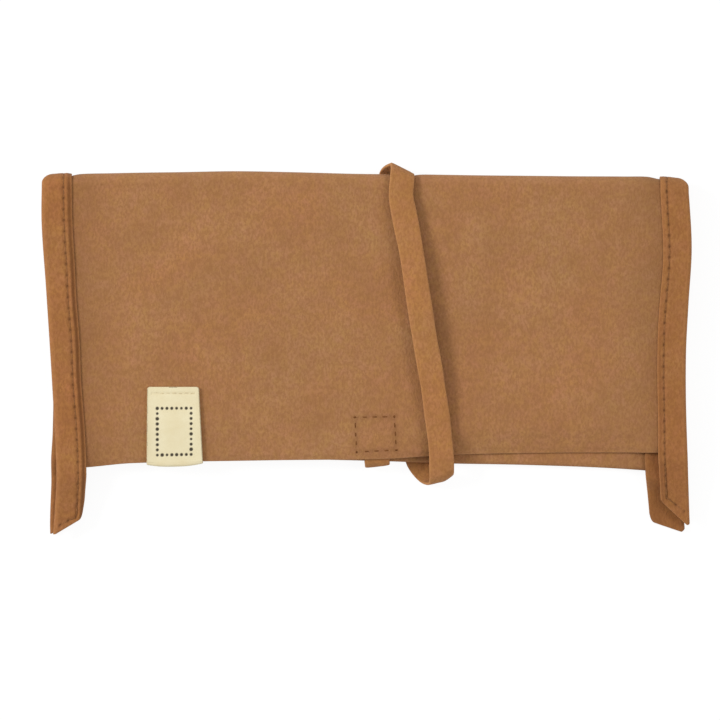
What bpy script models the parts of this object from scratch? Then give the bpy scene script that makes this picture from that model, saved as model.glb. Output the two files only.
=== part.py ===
"""A suede wrap wallet, closed and lying on its back.

One sheet is the flap, the fold at the top, the back and the note pocket's wall. A strip is folded round each
side and runs on below the sheet as two ears. A lace is sewn behind the flap and wound once and a half round
the wallet, and a tag is folded round the flap's lower edge.

Metres. X runs across the wallet, Y from the ears up to the fold, and Z out of the flap. The back lies on Z = 0.
"""

import math

import bmesh
import bpy
from mathutils import Vector

# Thickness of the leathers
SUEDE = 0.0012
BINDING = 0.0011
LACE = 0.0011
PANEL = 0.0010
TAG = 0.0008
CLEARANCE = 0.0003

# The folded sheet
WIDTH = 0.2058
FOLD_Y = 0.0556
FLAP_LENGTH = 0.0904
BACK_LENGTH = 0.0909
NOTE_POCKET_DROP = 0.0124
CORNER_RADIUS = 0.0026

# The bindings and their ears
BINDING_WIDTH = 0.0090
EAR_WIDTH = 0.0098
EAR_CLOSES_OVER = 0.0060
EAR_DROOP = 0.0030
BINDING_EASES_OVER = 0.0060

# The card pockets and the patch behind the lace's end
CARD_POCKET_DROP = 0.0090
CARD_POCKET_RAISE = 0.0080
CARD_POCKET_MARGIN = 0.0060
PATCH_WIDTH = 0.0160
PATCH_HEIGHT = 0.0138
PATCH_RAISE = 0.0074
PATCH_X = 0.0031

# The tag
TAG_FROM_SIDE = 0.0421
TAG_WIDTH_TOP = 0.0164
TAG_WIDTH_FOOT = 0.0178
TAG_HEIGHT = 0.0238

# The lace
LACE_WIDTH = 0.0078
LACE_LEAN = 0.0207
LACE_BOW = 0.0031
LACE_TAB = 0.0007
LACE_LOOP_DROP = 0.0053
LACE_CROWN_SLACK = 0.0015

# How far each side leans in from half the width, by the share of the flap's length below the fold
LEFT_LEAN = [(0.0, 0.0002), (0.17, 0.0001), (0.40, 0.0015), (0.75, 0.0035), (1.05, 0.0048), (1.16, 0.0042),
             (1.27, 0.0033)]
RIGHT_LEAN = [(0.0, 0.0016), (0.08, 0.0008), (0.26, 0.0), (0.45, 0.0010), (0.63, 0.0018), (0.85, 0.0017),
              (1.25, 0.0003)]
# How far the back half lies to the right of the front half, by the same share
BACK_SHIFT_LEFT = [(0.0, 0.0), (0.82, 0.0), (0.94, -0.0005), (1.07, -0.0015), (1.18, -0.0013), (1.27, -0.0002)]
BACK_SHIFT_RIGHT = [(0.0, 0.0), (0.60, -0.0004), (1.0, -0.0022), (1.25, -0.0016)]
# How much wider the back ears are
BACK_WIDER_LEFT = 0.0
BACK_WIDER_RIGHT = 0.0018

# Rise of the three long edges over their length in the middle, by the share of half the width from the middle
FOLD_RISE = [(-1.0, -0.0011), (-0.88, -0.0006), (-0.42, 0.0009), (0.0, 0.0001), (0.42, -0.0004),
             (0.87, -0.0014), (1.0, -0.0027)]
FLAP_RISE = [(-1.0, -0.0034), (-0.86, -0.0025), (-0.72, -0.0012), (-0.30, -0.0003), (0.06, 0.0002),
             (0.27, 0.0015), (0.60, 0.0021), (1.0, 0.0021)]
BACK_RISE = [(-1.0, 0.0022), (-0.5, 0.0011), (0.0, 0.0), (0.27, -0.0009), (0.60, -0.0016), (0.80, -0.0026),
             (1.0, -0.0044)]

# Each ear's end below the flap's edge: at its inner corner, at its outer tip, and the corner's rounding
EAR_LEFT_FRONT = (0.0184, 0.0240, 0.0035)
EAR_LEFT_BACK = (0.0167, 0.0236, 0.0020)
EAR_RIGHT_FRONT = (0.0131, 0.0217, 0.0004)
EAR_RIGHT_BACK = (0.0196, 0.0234, 0.0024)

# The layers, from the back up
BACK_Z = BINDING + CLEARANCE
POCKET_Z = BACK_Z + SUEDE + CLEARANCE
PANEL_Z = POCKET_Z + SUEDE + CLEARANCE
FRONT_LEG_Z = PANEL_Z + BINDING + CLEARANCE
FLAP_Z = FRONT_LEG_Z + BINDING + CLEARANCE
BACK_MID = BACK_Z + SUEDE / 2
FLAP_MID = FLAP_Z + SUEDE / 2
FOLD_MID = (BACK_MID + FLAP_MID) / 2
FOLD_RADIUS = (FLAP_MID - BACK_MID) / 2
FOOT_RADIUS = (POCKET_Z - BACK_Z) / 2
LEG_NEAR = SUEDE / 2 + CLEARANCE
LEG_FAR = LEG_NEAR + BINDING

HALF = WIDTH / 2
FLAP_EDGE_Y = FOLD_Y - FLAP_LENGTH
BACK_EDGE_Y = FOLD_Y - BACK_LENGTH


def clamp(value):
    return min(1.0, max(0.0, value))


def ease(value):
    value = clamp(value)
    return value * value * (3.0 - 2.0 * value)


def mix(a, b, share):
    return a + (b - a) * share


def smooth(points, t):
    """The value at t of a smooth curve through the points (t, value)."""
    t = min(points[-1][0], max(points[0][0], t))
    k = 0
    while k < len(points) - 2 and t > points[k + 1][0]:
        k += 1

    def slope(i):
        low = points[max(i - 1, 0)]
        high = points[min(i + 1, len(points) - 1)]
        return (high[1] - low[1]) / (high[0] - low[0])

    (t0, v0), (t1, v1) = points[k], points[k + 1]
    span = t1 - t0
    u = (t - t0) / span
    rise = (2 * u**3 - 3 * u**2 + 1) * v0 + (3 * u**2 - 2 * u**3) * v1
    return rise + span * ((u**3 - 2 * u**2 + u) * slope(k) + (u**3 - u**2) * slope(k + 1))


def fold_centre(x):
    """Y of the line that the top fold turns about."""
    return FOLD_Y + smooth(FOLD_RISE, x / HALF) - FOLD_RADIUS - SUEDE / 2


def flap_edge(x):
    return FLAP_EDGE_Y + smooth(FLAP_RISE, x / HALF)


def back_edge(x):
    return BACK_EDGE_Y + smooth(BACK_RISE, x / HALF)


def note_mouth(x):
    """Y of the note pocket's upper edge, inside."""
    return fold_centre(x) - NOTE_POCKET_DROP


class Side:
    """One side of the wallet: where its edge runs, and the ears that its binding ends in."""

    def __init__(self, sign, lean, shift, wider, ear_front, ear_back):
        self.sign = sign
        self.lean = lean
        self.shift = shift
        self.wider = wider
        self.ears = {1: ear_front, -1: ear_back}

    def below(self, y):
        return (FOLD_Y - y) / FLAP_LENGTH

    def corner(self, turn):
        """How far the rounded corner at the top fold draws the outer edge in, at this angle of the fold."""
        reach = (math.sin(turn) - 1) * (FOLD_RADIUS + LEG_FAR) + CORNER_RADIUS
        if reach <= 0:
            return 0.0
        return CORNER_RADIUS - math.sqrt(max(CORNER_RADIUS**2 - reach**2, 0.0))

    def outer(self, y, half, turn):
        """X of the binding's outer edge. half is 1 on the front, -1 on the back; turn is the fold's angle."""
        x = self.sign * (HALF - smooth(self.lean, self.below(y)) - self.corner(turn))
        return x + smooth(self.shift, self.below(y)) if half < 0 else x

    def width(self, y, half, turn):
        wide = mix(BINDING_WIDTH, EAR_WIDTH, clamp(self.below(y))) - self.corner(turn)
        return wide + self.wider * clamp(self.below(y)) if half < 0 else wide

    def sheet_edge(self, y, half, turn):
        return self.outer(y, half, turn) - self.sign * (BINDING + CLEARANCE)

    def ear_end(self, inward, half):
        """Y of the ear's end, by the share from its outer edge (0) to its inner edge (1)."""
        corner, tip, rounding = self.ears[half]
        drop = mix(tip, corner, inward)
        drop -= rounding * clamp((inward - 0.8) / 0.2) ** 4
        return FLAP_EDGE_Y - drop


LEFT = Side(-1, LEFT_LEAN, BACK_SHIFT_LEFT, BACK_WIDER_LEFT, EAR_LEFT_FRONT, EAR_LEFT_BACK)
RIGHT = Side(1, RIGHT_LEAN, BACK_SHIFT_RIGHT, BACK_WIDER_RIGHT, EAR_RIGHT_FRONT, EAR_RIGHT_BACK)


def make_material(name, colour, roughness):
    material = bpy.data.materials.new(name)
    material.use_nodes = True
    shader = material.node_tree.nodes["Principled BSDF"]
    shader.inputs["Base Color"].default_value = (*colour, 1.0)
    shader.inputs["Roughness"].default_value = roughness
    shader.inputs["Metallic"].default_value = 0.0
    return material


def thick_sheet(name, outer, inner, material):
    """A closed solid between two grids of points that face each other across the leather."""
    rows, columns = len(outer), len(outer[0])
    mesh = bpy.data.meshes.new(name)
    shape = bmesh.new()
    faces_of = []
    for grid in (outer, inner):
        faces_of.append([[shape.verts.new(point) for point in row] for row in grid])
    top, under = faces_of
    for j in range(rows - 1):
        for i in range(columns - 1):
            for side in (top, under):
                shape.faces.new((side[j][i], side[j][i + 1], side[j + 1][i + 1], side[j + 1][i]))
        for i in (0, columns - 1):
            shape.faces.new((top[j][i], top[j + 1][i], under[j + 1][i], under[j][i]))
    for i in range(columns - 1):
        for j in (0, rows - 1):
            shape.faces.new((top[j][i], top[j][i + 1], under[j][i + 1], under[j][i]))
    bmesh.ops.recalc_face_normals(shape, faces=shape.faces)
    shape.to_mesh(mesh)
    shape.free()
    mesh.shade_smooth()
    mesh.set_sharp_from_angle(angle=math.radians(40))
    mesh.materials.append(material)
    body = bpy.data.objects.new(name, mesh)
    bpy.context.scene.collection.objects.link(body)
    return body


def shares(count):
    return [k / count for k in range(count + 1)]


def sheet_rows():
    """The sheet's path from the flap's edge to the note pocket's mouth. Each row is a function of x and of the
    height over the sheet's middle that gives (y, z), then the half it lies on and its angle on the top fold."""
    rows = []

    def add(place, half, turn=0.0):
        rows.append((place, half, turn))

    for share in shares(12)[:-1]:
        add(lambda x, h, s=share: (mix(flap_edge(x), fold_centre(x), s), FLAP_MID + h), 1)
    for share in shares(10):
        add(lambda x, h, a=share * math.pi: (fold_centre(x) + (FOLD_RADIUS + h) * math.sin(a),
                                             FOLD_MID + (FOLD_RADIUS + h) * math.cos(a)),
            1 if share < 0.5 else -1, share * math.pi)
    foot = FOOT_RADIUS + SUEDE / 2
    for share in shares(12)[1:]:
        add(lambda x, h, s=share: (mix(fold_centre(x), back_edge(x) + foot, s), BACK_MID - h), -1)
    for share in shares(6)[1:]:
        add(lambda x, h, a=share * math.pi: (back_edge(x) + foot - (FOOT_RADIUS + h) * math.sin(a),
                                             BACK_MID + FOOT_RADIUS - (FOOT_RADIUS + h) * math.cos(a)), -1)
    for share in shares(9)[1:]:
        add(lambda x, h, s=share: (mix(back_edge(x) + foot, note_mouth(x), s),
                                   BACK_MID + 2 * FOOT_RADIUS + h), -1)
    return rows


def outer_sheet(material):
    columns = 26
    outer, inner = [], []
    for place, half, turn in sheet_rows():
        left = LEFT.sheet_edge(place(-HALF, 0.0)[0], half, turn)
        right = RIGHT.sheet_edge(place(HALF, 0.0)[0], half, turn)
        xs = [mix(left, right, share) for share in shares(columns)]
        for grid, height in ((outer, SUEDE / 2), (inner, -SUEDE / 2)):
            grid.append([(x, *place(x, height)) for x in xs])
    return thick_sheet("outer_sheet", outer, inner, material)


def leg_heights(half, y, sheet_end, mouth):
    """Heights over the sheet's middle of the binding's two legs: outer face, inner face, inner face, outer face.
    Past the sheet's end the legs close on each other and are an ear. On the back they hold two layers, up to
    the note pocket's mouth."""
    closed = ease((sheet_end - y) / EAR_CLOSES_OVER)
    if half > 0:
        shut = (LEG_NEAR - CLEARANCE / 2) * closed
        droop = EAR_DROOP * ease((sheet_end - y) / (3 * EAR_CLOSES_OVER))
        return LEG_FAR - shut - droop, LEG_NEAR - shut - droop, shut - LEG_NEAR - droop, shut - LEG_FAR - droop
    ply = (SUEDE + CLEARANCE) * (1 - ease((y - mouth) / BINDING_EASES_OVER))
    near = mix(-LEG_NEAR - ply, LEG_NEAR - CLEARANCE, closed)
    return LEG_FAR, LEG_NEAR, near, near - BINDING


def binding_section(wide, heights):
    """Pairs of points across the strip, each (distance in from the outer edge, height), outside and inside."""
    far, near, low_near, low_far = heights
    fillet = CLEARANCE / 3
    corner = BINDING + fillet
    steps = [1.0, 0.95, 0.88, 0.78, 0.5, 0.28]
    outside = [(wide * s, far) for s in steps]
    inside = [(wide * s, near) for s in steps]
    for share in shares(2):
        turn = share * math.pi / 2
        outside.append((corner * (1 - math.sin(turn)), far - corner * (1 - math.cos(turn))))
        inside.append((corner - fillet * math.sin(turn), near - fillet * (1 - math.cos(turn))))
    for share in shares(2):
        turn = (1 - share) * math.pi / 2
        outside.append((corner * (1 - math.sin(turn)), low_far + corner * (1 - math.cos(turn))))
        inside.append((corner - fillet * math.sin(turn), low_near + fillet * (1 - math.cos(turn))))
    outside += [(wide * s, low_far) for s in reversed(steps)]
    inside += [(wide * s, low_near) for s in reversed(steps)]
    return outside, inside


def binding(name, side, material):
    """The strip round one side: its front ear, the front, the fold at the top, the back and its back ear."""
    x_mid = side.sign * (HALF - BINDING_WIDTH / 2)
    x_end = side.sign * HALF
    centre = fold_centre(x_mid)
    mouth = max(note_mouth(x_mid), note_mouth(x_end)) + CLEARANCE
    outer, inner = [], []

    def add(half, y, turn, heights, place):
        edge = side.outer(y, half, turn)
        wide = side.width(y, half, turn)
        for grid, points in zip((outer, inner), binding_section(wide, heights)):
            xs = [edge - side.sign * inward for inward, _ in points]
            grid.append([(x, *place(x, inward / wide, height)) for x, (inward, height) in zip(xs, points)])

    def level(half, height):
        return FLAP_MID + height if half > 0 else BACK_MID - height

    def straight(half):
        """The rows from the ear's end up to the fold."""
        edge = flap_edge if half > 0 else back_edge
        end = min(edge(x_mid), edge(x_end)) - 2 * CLEARANCE
        rows = []
        for share in shares(9)[:-1]:
            y = mix(side.ear_end(0.5, half), end, share)
            rows.append((y, lambda x, q, h, s=share: (mix(side.ear_end(clamp(q), half), end, s), level(half, h))))
        heights = [mix(end, mouth, s) for s in shares(9)]
        heights += [mouth + BINDING_EASES_OVER * s for s in shares(3)[1:]]
        for y in heights:
            share = (y - end) / (centre - end)
            rows.append((y, lambda x, q, h, s=share: (mix(end, fold_centre(x), s), level(half, h))))
        return [(half, y, 0.0, leg_heights(half, y, end, mouth), place) for y, place in rows]

    for row in straight(1):
        add(*row)
    for share in shares(12):
        turn = share * math.pi
        add(1 if share < 0.5 else -1, centre, turn, (LEG_FAR, LEG_NEAR, -LEG_NEAR, -LEG_FAR),
            lambda x, q, h, a=turn: (fold_centre(x) + (FOLD_RADIUS + h) * math.sin(a),
                                     FOLD_MID + (FOLD_RADIUS + h) * math.cos(a)))
    for row in reversed(straight(-1)):
        add(*row)
    return thick_sheet(name, outer, inner, material)


def tag(material):
    """The tag: a strip folded round the flap's lower edge."""
    middle = -HALF + TAG_FROM_SIDE
    radius = SUEDE / 2 + CLEARANCE + TAG / 2
    top = flap_edge(middle) + TAG_HEIGHT
    outer, inner = [], []

    def add(share_down, place):
        wide = mix(TAG_WIDTH_TOP, TAG_WIDTH_FOOT, share_down)
        xs = [middle + wide * (s - 0.5) for s in shares(6)]
        for grid, height in ((outer, TAG / 2), (inner, -TAG / 2)):
            grid.append([(x, *place(x, height)) for x in xs])

    for share in shares(5)[:-1]:
        add(share, lambda x, h, s=share: (mix(top, flap_edge(x), s), FLAP_MID + radius + h))
    for share in shares(6):
        turn = share * math.pi
        add(1.0, lambda x, h, a=turn: (flap_edge(x) - (radius + h) * math.sin(a),
                                       FLAP_MID + (radius + h) * math.cos(a)))
    for share in shares(5)[1:]:
        add(1 - share, lambda x, h, s=share: (mix(flap_edge(x), top, s), FLAP_MID - radius - h))
    return thick_sheet("label", outer, inner, material)


def panel(name, x_low, x_high, foot, top, z, material):
    """A flat panel between two edges, each given as y by x."""
    outer, inner = [], []
    for share in shares(4):
        xs = [mix(x_low, x_high, s) for s in shares(4)]
        for grid, level in ((outer, z + PANEL), (inner, z)):
            grid.append([(x, mix(foot(x), top(x), share), level) for x in xs])
    return thick_sheet(name, outer, inner, material)


def card_pocket(name, x_low, x_high, material):
    panel(name, x_low, x_high, lambda x: back_edge(x) + CARD_POCKET_RAISE,
          lambda x: note_mouth(x) - CARD_POCKET_DROP, PANEL_Z, material)


def lace_route():
    """The lace's stations: its middle, and the way that its outer face looks."""
    middle = LACE / 2
    under_flap = FLAP_Z - CLEARANCE - middle
    on_flap = FLAP_Z + SUEDE + CLEARANCE + middle
    around = FOLD_RADIUS + SUEDE / 2 + CLEARANCE + middle
    down, out, back = (0, -1, 0), (0, 0, 1), (0, 0, -1)
    stations = []

    def add(lean, y, z, looks):
        stations.append((Vector((PATCH_X + lean * LACE_LEAN, y, z)), Vector(looks).normalized()))

    def over_fold(lean, degrees, slack, looks):
        turn = math.radians(degrees)
        radius = around + slack * LACE_CROWN_SLACK
        centre = fold_centre(PATCH_X + lean * LACE_LEAN)
        add(lean, centre + radius * math.sin(turn), FOLD_MID + radius * math.cos(turn), looks)

    def lowest(lean):
        x = PATCH_X + lean * LACE_LEAN
        return min(flap_edge(x), back_edge(x))

    # Sewn behind the flap, out below its edge and round the foot of the back
    sewn = flap_edge(PATCH_X) + PATCH_RAISE
    foot = lowest(0)
    tab = foot - LACE_TAB - middle
    add(0, sewn + PATCH_HEIGHT - PANEL, under_flap, out)
    add(0.005, sewn, under_flap, out)
    add(0.010, flap_edge(PATCH_X) + 0.2 * LACE, under_flap, (0, -0.15, 1))
    add(0.015, tab + 0.4 * LACE, under_flap - 0.9 * LACE, (0, -0.8, 0.6))
    add(0.015, tab, FOLD_MID - 1.1 * LACE, down)
    add(0.015, tab + 0.45 * LACE, middle + 0.65 * LACE, (0, -0.7, -0.7))
    add(0.020, foot + 0.9 * LACE, middle, back)
    add(0.040, foot + 6.4 * LACE, middle, back)

    # Up behind the back, to the fold
    rise = fold_centre(0) - foot
    add(0.14, foot + 0.50 * rise, middle, back)
    add(0.245, foot + 0.93 * rise, middle, back)

    # Over the fold with some slack, leaning to the right
    over_fold(0.285, 158, 0.2, (0.0, 0.40, -0.92))
    over_fold(0.325, 125, 0.8, (0.25, 0.80, -0.50))
    over_fold(0.370, 88, 1.0, (0.38, 0.92, 0.12))
    over_fold(0.400, 52, 1.0, (0.28, 0.75, 0.60))
    over_fold(0.395, 20, 0.7, (0.06, 0.25, 1))

    # Down the front, bowed off the flap
    drop = fold_centre(0) - flap_edge(0)
    front = [(0.045, 0.38, 0.35), (0.12, 0.44, 0.60), (0.25, 0.57, 0.90), (0.40, 0.662, 1.0),
             (0.55, 0.744, 0.95), (0.70, 0.85, 0.75), (0.85, 0.937, 0.45), (0.97, 0.99, 0.15)]
    for share, lean, bow in front:
        add(lean, fold_centre(0) - share * drop, on_flap + bow * LACE_BOW, out)

    # A loose loop round the foot, twisted to the left
    low = lowest(1) - LACE_LOOP_DROP
    add(1.0, low + 0.52 * LACE_LOOP_DROP, on_flap - 0.4 * LACE, (0, -0.25, 1))
    add(0.985, low + 0.14 * LACE_LOOP_DROP, FOLD_MID + 2 * LACE, (0.10, -0.85, 0.5))
    add(0.937, low, FOLD_MID - 0.5 * LACE, (0.22, -0.97, 0))
    add(0.865, low + 0.12 * LACE_LOOP_DROP, middle + 1.6 * LACE, (0.10, -0.8, -0.6))
    add(0.773, low + 0.48 * LACE_LOOP_DROP, middle + 0.4 * LACE, (0, -0.15, -1))
    add(0.681, low + 0.92 * LACE_LOOP_DROP, middle, back)
    add(0.623, low + 1.40 * LACE_LOOP_DROP, middle, back)

    # Up behind again, beside the first pass, to the free end
    beside = [(0.09, 0.54), (0.16, 0.51), (0.30, 0.525), (0.50, 0.585), (0.65, 0.63), (0.76, 0.667)]
    for share, lean in beside:
        add(lean, foot + share * rise, middle, back)
    return stations


def between(points, t):
    """A smooth curve through evenly counted points, at t in whole and part steps."""
    k = min(int(t), len(points) - 2)
    u = t - k
    a, b, c, d = (points[min(max(i, 0), len(points) - 1)] for i in (k - 1, k, k + 1, k + 2))
    return 0.5 * (2 * b + (c - a) * u + (2 * a - 5 * b + 4 * c - d) * u**2 + (3 * b - a - 3 * c + d) * u**3)


def lace(material):
    stations = lace_route()
    steps = 4
    count = (len(stations) - 1) * steps
    middles = [between([s[0] for s in stations], k / steps) for k in range(count + 1)]
    faces = [between([s[1] for s in stations], k / steps) for k in range(count + 1)]
    outer, inner = [], []
    for k, (middle, face) in enumerate(zip(middles, faces)):
        along = (middles[min(k + 1, count)] - middles[max(k - 1, 0)]).normalized()
        across = along.cross(face).normalized()
        face = across.cross(along).normalized()
        line = [middle + across * LACE_WIDTH * (s - 0.5) for s in shares(3)]
        # The surface that the wallet lies on presses the lace flat
        lifts = [max(0.0, abs(face.z) * LACE / 2 - point.z) for point in line]
        for grid, height in ((outer, LACE / 2), (inner, -LACE / 2)):
            grid.append([point + Vector((0, 0, lift)) + face * height for point, lift in zip(line, lifts)])
    return thick_sheet("wrap_strap", outer, inner, material)


def build():
    for thing in list(bpy.data.objects):
        bpy.data.objects.remove(thing, do_unlink=True)
    suede = make_material("suede", (0.39, 0.19, 0.09), 0.95)
    edging = make_material("suede_binding", (0.37, 0.18, 0.085), 0.95)
    lacing = make_material("suede_lace", (0.40, 0.20, 0.095), 0.95)
    lining = make_material("inner_leather", (0.36, 0.18, 0.09), 0.9)
    cream = make_material("cream_leather", (0.84, 0.74, 0.50), 0.6)

    outer_sheet(suede)
    binding("left_binding", LEFT, edging)
    binding("right_binding", RIGHT, edging)
    lace(lacing)
    tag(cream)
    patch_low = PATCH_X - PATCH_WIDTH / 2
    patch_high = PATCH_X + PATCH_WIDTH / 2
    panel("strap_patch", patch_low, patch_high, lambda x: flap_edge(x) + PATCH_RAISE,
          lambda x: flap_edge(x) + PATCH_RAISE + PATCH_HEIGHT, PANEL_Z + CLEARANCE / 3, lining)
    inside = HALF - EAR_WIDTH - CARD_POCKET_MARGIN
    card_pocket("card_pocket_left", -inside, patch_low - CARD_POCKET_MARGIN, lining)
    card_pocket("card_pocket_right", patch_high + CARD_POCKET_MARGIN, inside, lining)


build()
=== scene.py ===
# %% [markdown]
# # A suede wrap wallet
# The wallet is one long sheet of suede, folded over at the top and turned up inside at the foot. A strip is
# sewn round each side, a cream tag is folded round the flap's edge, and a flat lace is wound round it all.
# The solids of those pieces are already made, at their real size. This scene dresses them: it builds each
# piece again with a finer surface, sews it, and gives it its finish. Everything is in metres.

import math

import bpy
import numpy as np
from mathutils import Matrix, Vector, noise


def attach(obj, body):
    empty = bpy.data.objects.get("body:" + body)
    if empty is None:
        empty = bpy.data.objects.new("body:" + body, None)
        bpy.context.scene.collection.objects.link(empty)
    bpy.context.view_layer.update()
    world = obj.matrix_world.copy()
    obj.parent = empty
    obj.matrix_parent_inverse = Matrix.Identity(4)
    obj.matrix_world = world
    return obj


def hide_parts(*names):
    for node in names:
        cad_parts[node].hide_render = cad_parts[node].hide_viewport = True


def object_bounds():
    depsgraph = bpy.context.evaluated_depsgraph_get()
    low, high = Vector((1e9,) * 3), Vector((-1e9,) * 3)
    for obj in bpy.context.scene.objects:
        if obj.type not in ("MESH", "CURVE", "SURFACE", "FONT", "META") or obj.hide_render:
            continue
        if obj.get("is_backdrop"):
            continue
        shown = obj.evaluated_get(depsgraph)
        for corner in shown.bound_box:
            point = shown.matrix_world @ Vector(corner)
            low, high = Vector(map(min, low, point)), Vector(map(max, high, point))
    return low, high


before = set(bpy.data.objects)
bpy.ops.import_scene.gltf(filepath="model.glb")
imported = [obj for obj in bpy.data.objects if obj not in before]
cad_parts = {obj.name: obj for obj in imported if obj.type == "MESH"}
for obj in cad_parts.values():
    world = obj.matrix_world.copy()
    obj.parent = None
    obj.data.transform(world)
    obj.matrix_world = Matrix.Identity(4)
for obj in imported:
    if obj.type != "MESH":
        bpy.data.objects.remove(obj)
cad_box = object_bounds()
MM = 0.001
print("solids:", ", ".join(sorted(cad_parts)))
print("box in mm:", [round((high - low) / MM, 1) for low, high in zip(*cad_box)])

# %% [markdown]
# ## How thick the layers are
# A folded wallet is a stack: back, pocket wall, flap and the strips round them. Writing those heights again
# would invite a slip, so a vertical ray asks the solids where their faces are. One ray through the sheet
# gives all six faces of its three layers, and one through a strip gives the strip's thickness.

# %% Heights of the layers, asked of the solids
RAY_FROM = 50 * MM
RAY_STEP = 0.001 * MM


def levels(node, x, y):
    """Heights at which a vertical line crosses a solid, from the top down."""
    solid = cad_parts[node]
    found, z = [], RAY_FROM
    while True:
        hit, place, _, _ = solid.ray_cast(Vector((x, y, z)), Vector((0, 0, -1)))
        if not hit:
            return found
        found.append(place.z)
        z = place.z - RAY_STEP


flap_top, flap_under, _, wall_under, back_top, back_under = levels("outer_sheet", 60 * MM, 5 * MM)
strip_top, strip_under = levels("left_binding", -98 * MM, 10 * MM)[:2]
lace_top, lace_under = levels("wrap_strap", 6 * MM, -20 * MM)[-2:]
tag_top, tag_under = levels("label", -60 * MM, -20 * MM)[:2]
panel_top, panel_under = levels("card_pocket_left", -60 * MM, 0.0)

SUEDE = flap_top - flap_under
STRIP = strip_top - strip_under
LACE = lace_top - lace_under
TAG = tag_top - tag_under
GAP = wall_under - back_top
FLAP_MID = (flap_top + flap_under) / 2
BACK_MID = (back_top + back_under) / 2
FOLD_MID = (FLAP_MID + BACK_MID) / 2
FOLD_RADIUS = (FLAP_MID - BACK_MID) / 2
FOOT_RADIUS = (wall_under - back_under) / 2
LEG_NEAR = SUEDE / 2 + GAP
LEG_FAR = LEG_NEAR + STRIP
for name, size in (("suede", SUEDE), ("strip", STRIP), ("lace", LACE), ("tag", TAG), ("gap", GAP)):
    print(f"{name} {size / MM:.2f} mm")

# %% [markdown]
# ## The outline
# Nothing on a handmade wallet is quite straight. Each long edge is a smooth curve through a few points, given
# as shares of the width or of the flap's length, so the curve keeps its shape if the wallet is made larger.
# A cubic through each pair of points, with slopes taken from the neighbours, has no corners and never swings
# far from its points. These are the outlines that the solids were made with.

# %% Sizes and curves of the outline
WIDTH = 205.8 * MM
FOLD_Y = 55.6 * MM
FLAP_LENGTH = 90.4 * MM
BACK_LENGTH = 90.9 * MM
NOTE_POCKET_DROP = 12.4 * MM
CORNER_RADIUS = 2.3 * MM
HALF = WIDTH / 2
FLAP_EDGE_Y = FOLD_Y - FLAP_LENGTH
BACK_EDGE_Y = FOLD_Y - BACK_LENGTH

FOLD_RISE = [(-1.0, -0.0011), (-0.88, -0.0006), (-0.42, 0.0009), (0.0, 0.0001), (0.42, -0.0004),
             (0.87, -0.0014), (1.0, -0.0027)]
FLAP_RISE = [(-1.0, -0.0034), (-0.86, -0.0025), (-0.72, -0.0012), (-0.30, -0.0003), (0.06, 0.0002),
             (0.27, 0.0015), (0.60, 0.0021), (1.0, 0.0021)]
BACK_RISE = [(-1.0, 0.0022), (-0.5, 0.0011), (0.0, 0.0), (0.27, -0.0009), (0.60, -0.0016), (0.80, -0.0026),
             (1.0, -0.0044)]


def mix(a, b, share):
    return a + (b - a) * share


def ease(value):
    value = np.clip(value, 0.0, 1.0)
    return value * value * (3.0 - 2.0 * value)


def smooth(points, t):
    """The value at t of a smooth curve through the points (t, value). t may be an array."""
    ts, values = np.array(points).T
    t = np.clip(t, ts[0], ts[-1])
    k = np.clip(np.searchsorted(ts, t) - 1, 0, len(ts) - 2)
    each = np.arange(len(ts))
    low, high = np.maximum(each - 1, 0), np.minimum(each + 1, len(ts) - 1)
    slopes = (values[high] - values[low]) / (ts[high] - ts[low])
    span = ts[k + 1] - ts[k]
    u = (t - ts[k]) / span
    level = (2 * u**3 - 3 * u**2 + 1) * values[k] + (3 * u**2 - 2 * u**3) * values[k + 1]
    return level + span * ((u**3 - 2 * u**2 + u) * slopes[k] + (u**3 - u**2) * slopes[k + 1])


def fold_centre(x):
    return FOLD_Y + smooth(FOLD_RISE, x / HALF) - FOLD_RADIUS - SUEDE / 2


def flap_edge(x):
    return FLAP_EDGE_Y + smooth(FLAP_RISE, x / HALF)


def back_edge(x):
    return BACK_EDGE_Y + smooth(BACK_RISE, x / HALF)


def note_mouth(x):
    return fold_centre(x) - NOTE_POCKET_DROP


print(f"flap's edge at y = {flap_edge(0.0) / MM:.1f} mm, fold at y = {FOLD_Y / MM:.1f} mm")

# %% [markdown]
# ## The two sides
# Each side leans in a little towards the foot, and its strip runs on below the sheet as two ears with
# slanted ends, one from the front and one from the back. A small class keeps what belongs to one side, so
# that the sheet, the strip and the thread all ask the same object where the edge is.

# %% One side of the wallet
LEFT_LEAN = [(0.0, 0.0002), (0.17, 0.0001), (0.40, 0.0015), (0.75, 0.0035), (1.05, 0.0048), (1.16, 0.0042),
             (1.27, 0.0033)]
RIGHT_LEAN = [(0.0, 0.0016), (0.08, 0.0008), (0.26, 0.0), (0.45, 0.0010), (0.63, 0.0018), (0.85, 0.0017),
              (1.25, 0.0003)]
BACK_SHIFT_LEFT = [(0.0, 0.0), (0.76, 0.0), (0.90, -0.0008), (1.02, -0.0018), (1.18, -0.0015),
                   (1.27, -0.0005)]
BACK_SHIFT_RIGHT = [(0.0, 0.0), (0.60, -0.0004), (1.0, -0.0022), (1.25, -0.0016)]
LEFT_TRIM = [(0.0, -0.0004), (0.20, -0.0006), (0.30, -0.0004), (0.45, 0.0), (0.62, 0.0), (0.75, 0.0003),
             (0.9, 0.0002), (1.05, 0.0003), (1.2, 0.0001)]
RIGHT_TRIM = [(0.0, 0.0), (0.6, 0.0004), (0.79, 0.0007), (0.95, 0.0004), (1.08, 0.0007), (1.2, 0.0006)]
# Painted shade on the slope of each strip's pared inner edge, by the share down the flap: deeper on the left
# strip, whose slope faces away from the stronger lamp.
LEFT_SLOPE_SHADE = [(0.0, 0.75), (0.2, 0.8), (0.5, 1.1), (1.2, 1.1)]
RIGHT_SLOPE_SHADE = [(0.0, 0.1), (0.5, 0.2), (0.66, 0.6), (1.2, 0.6)]
STRIP_WIDTH = 9.0 * MM
EAR_WIDTH = 9.8 * MM


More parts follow.
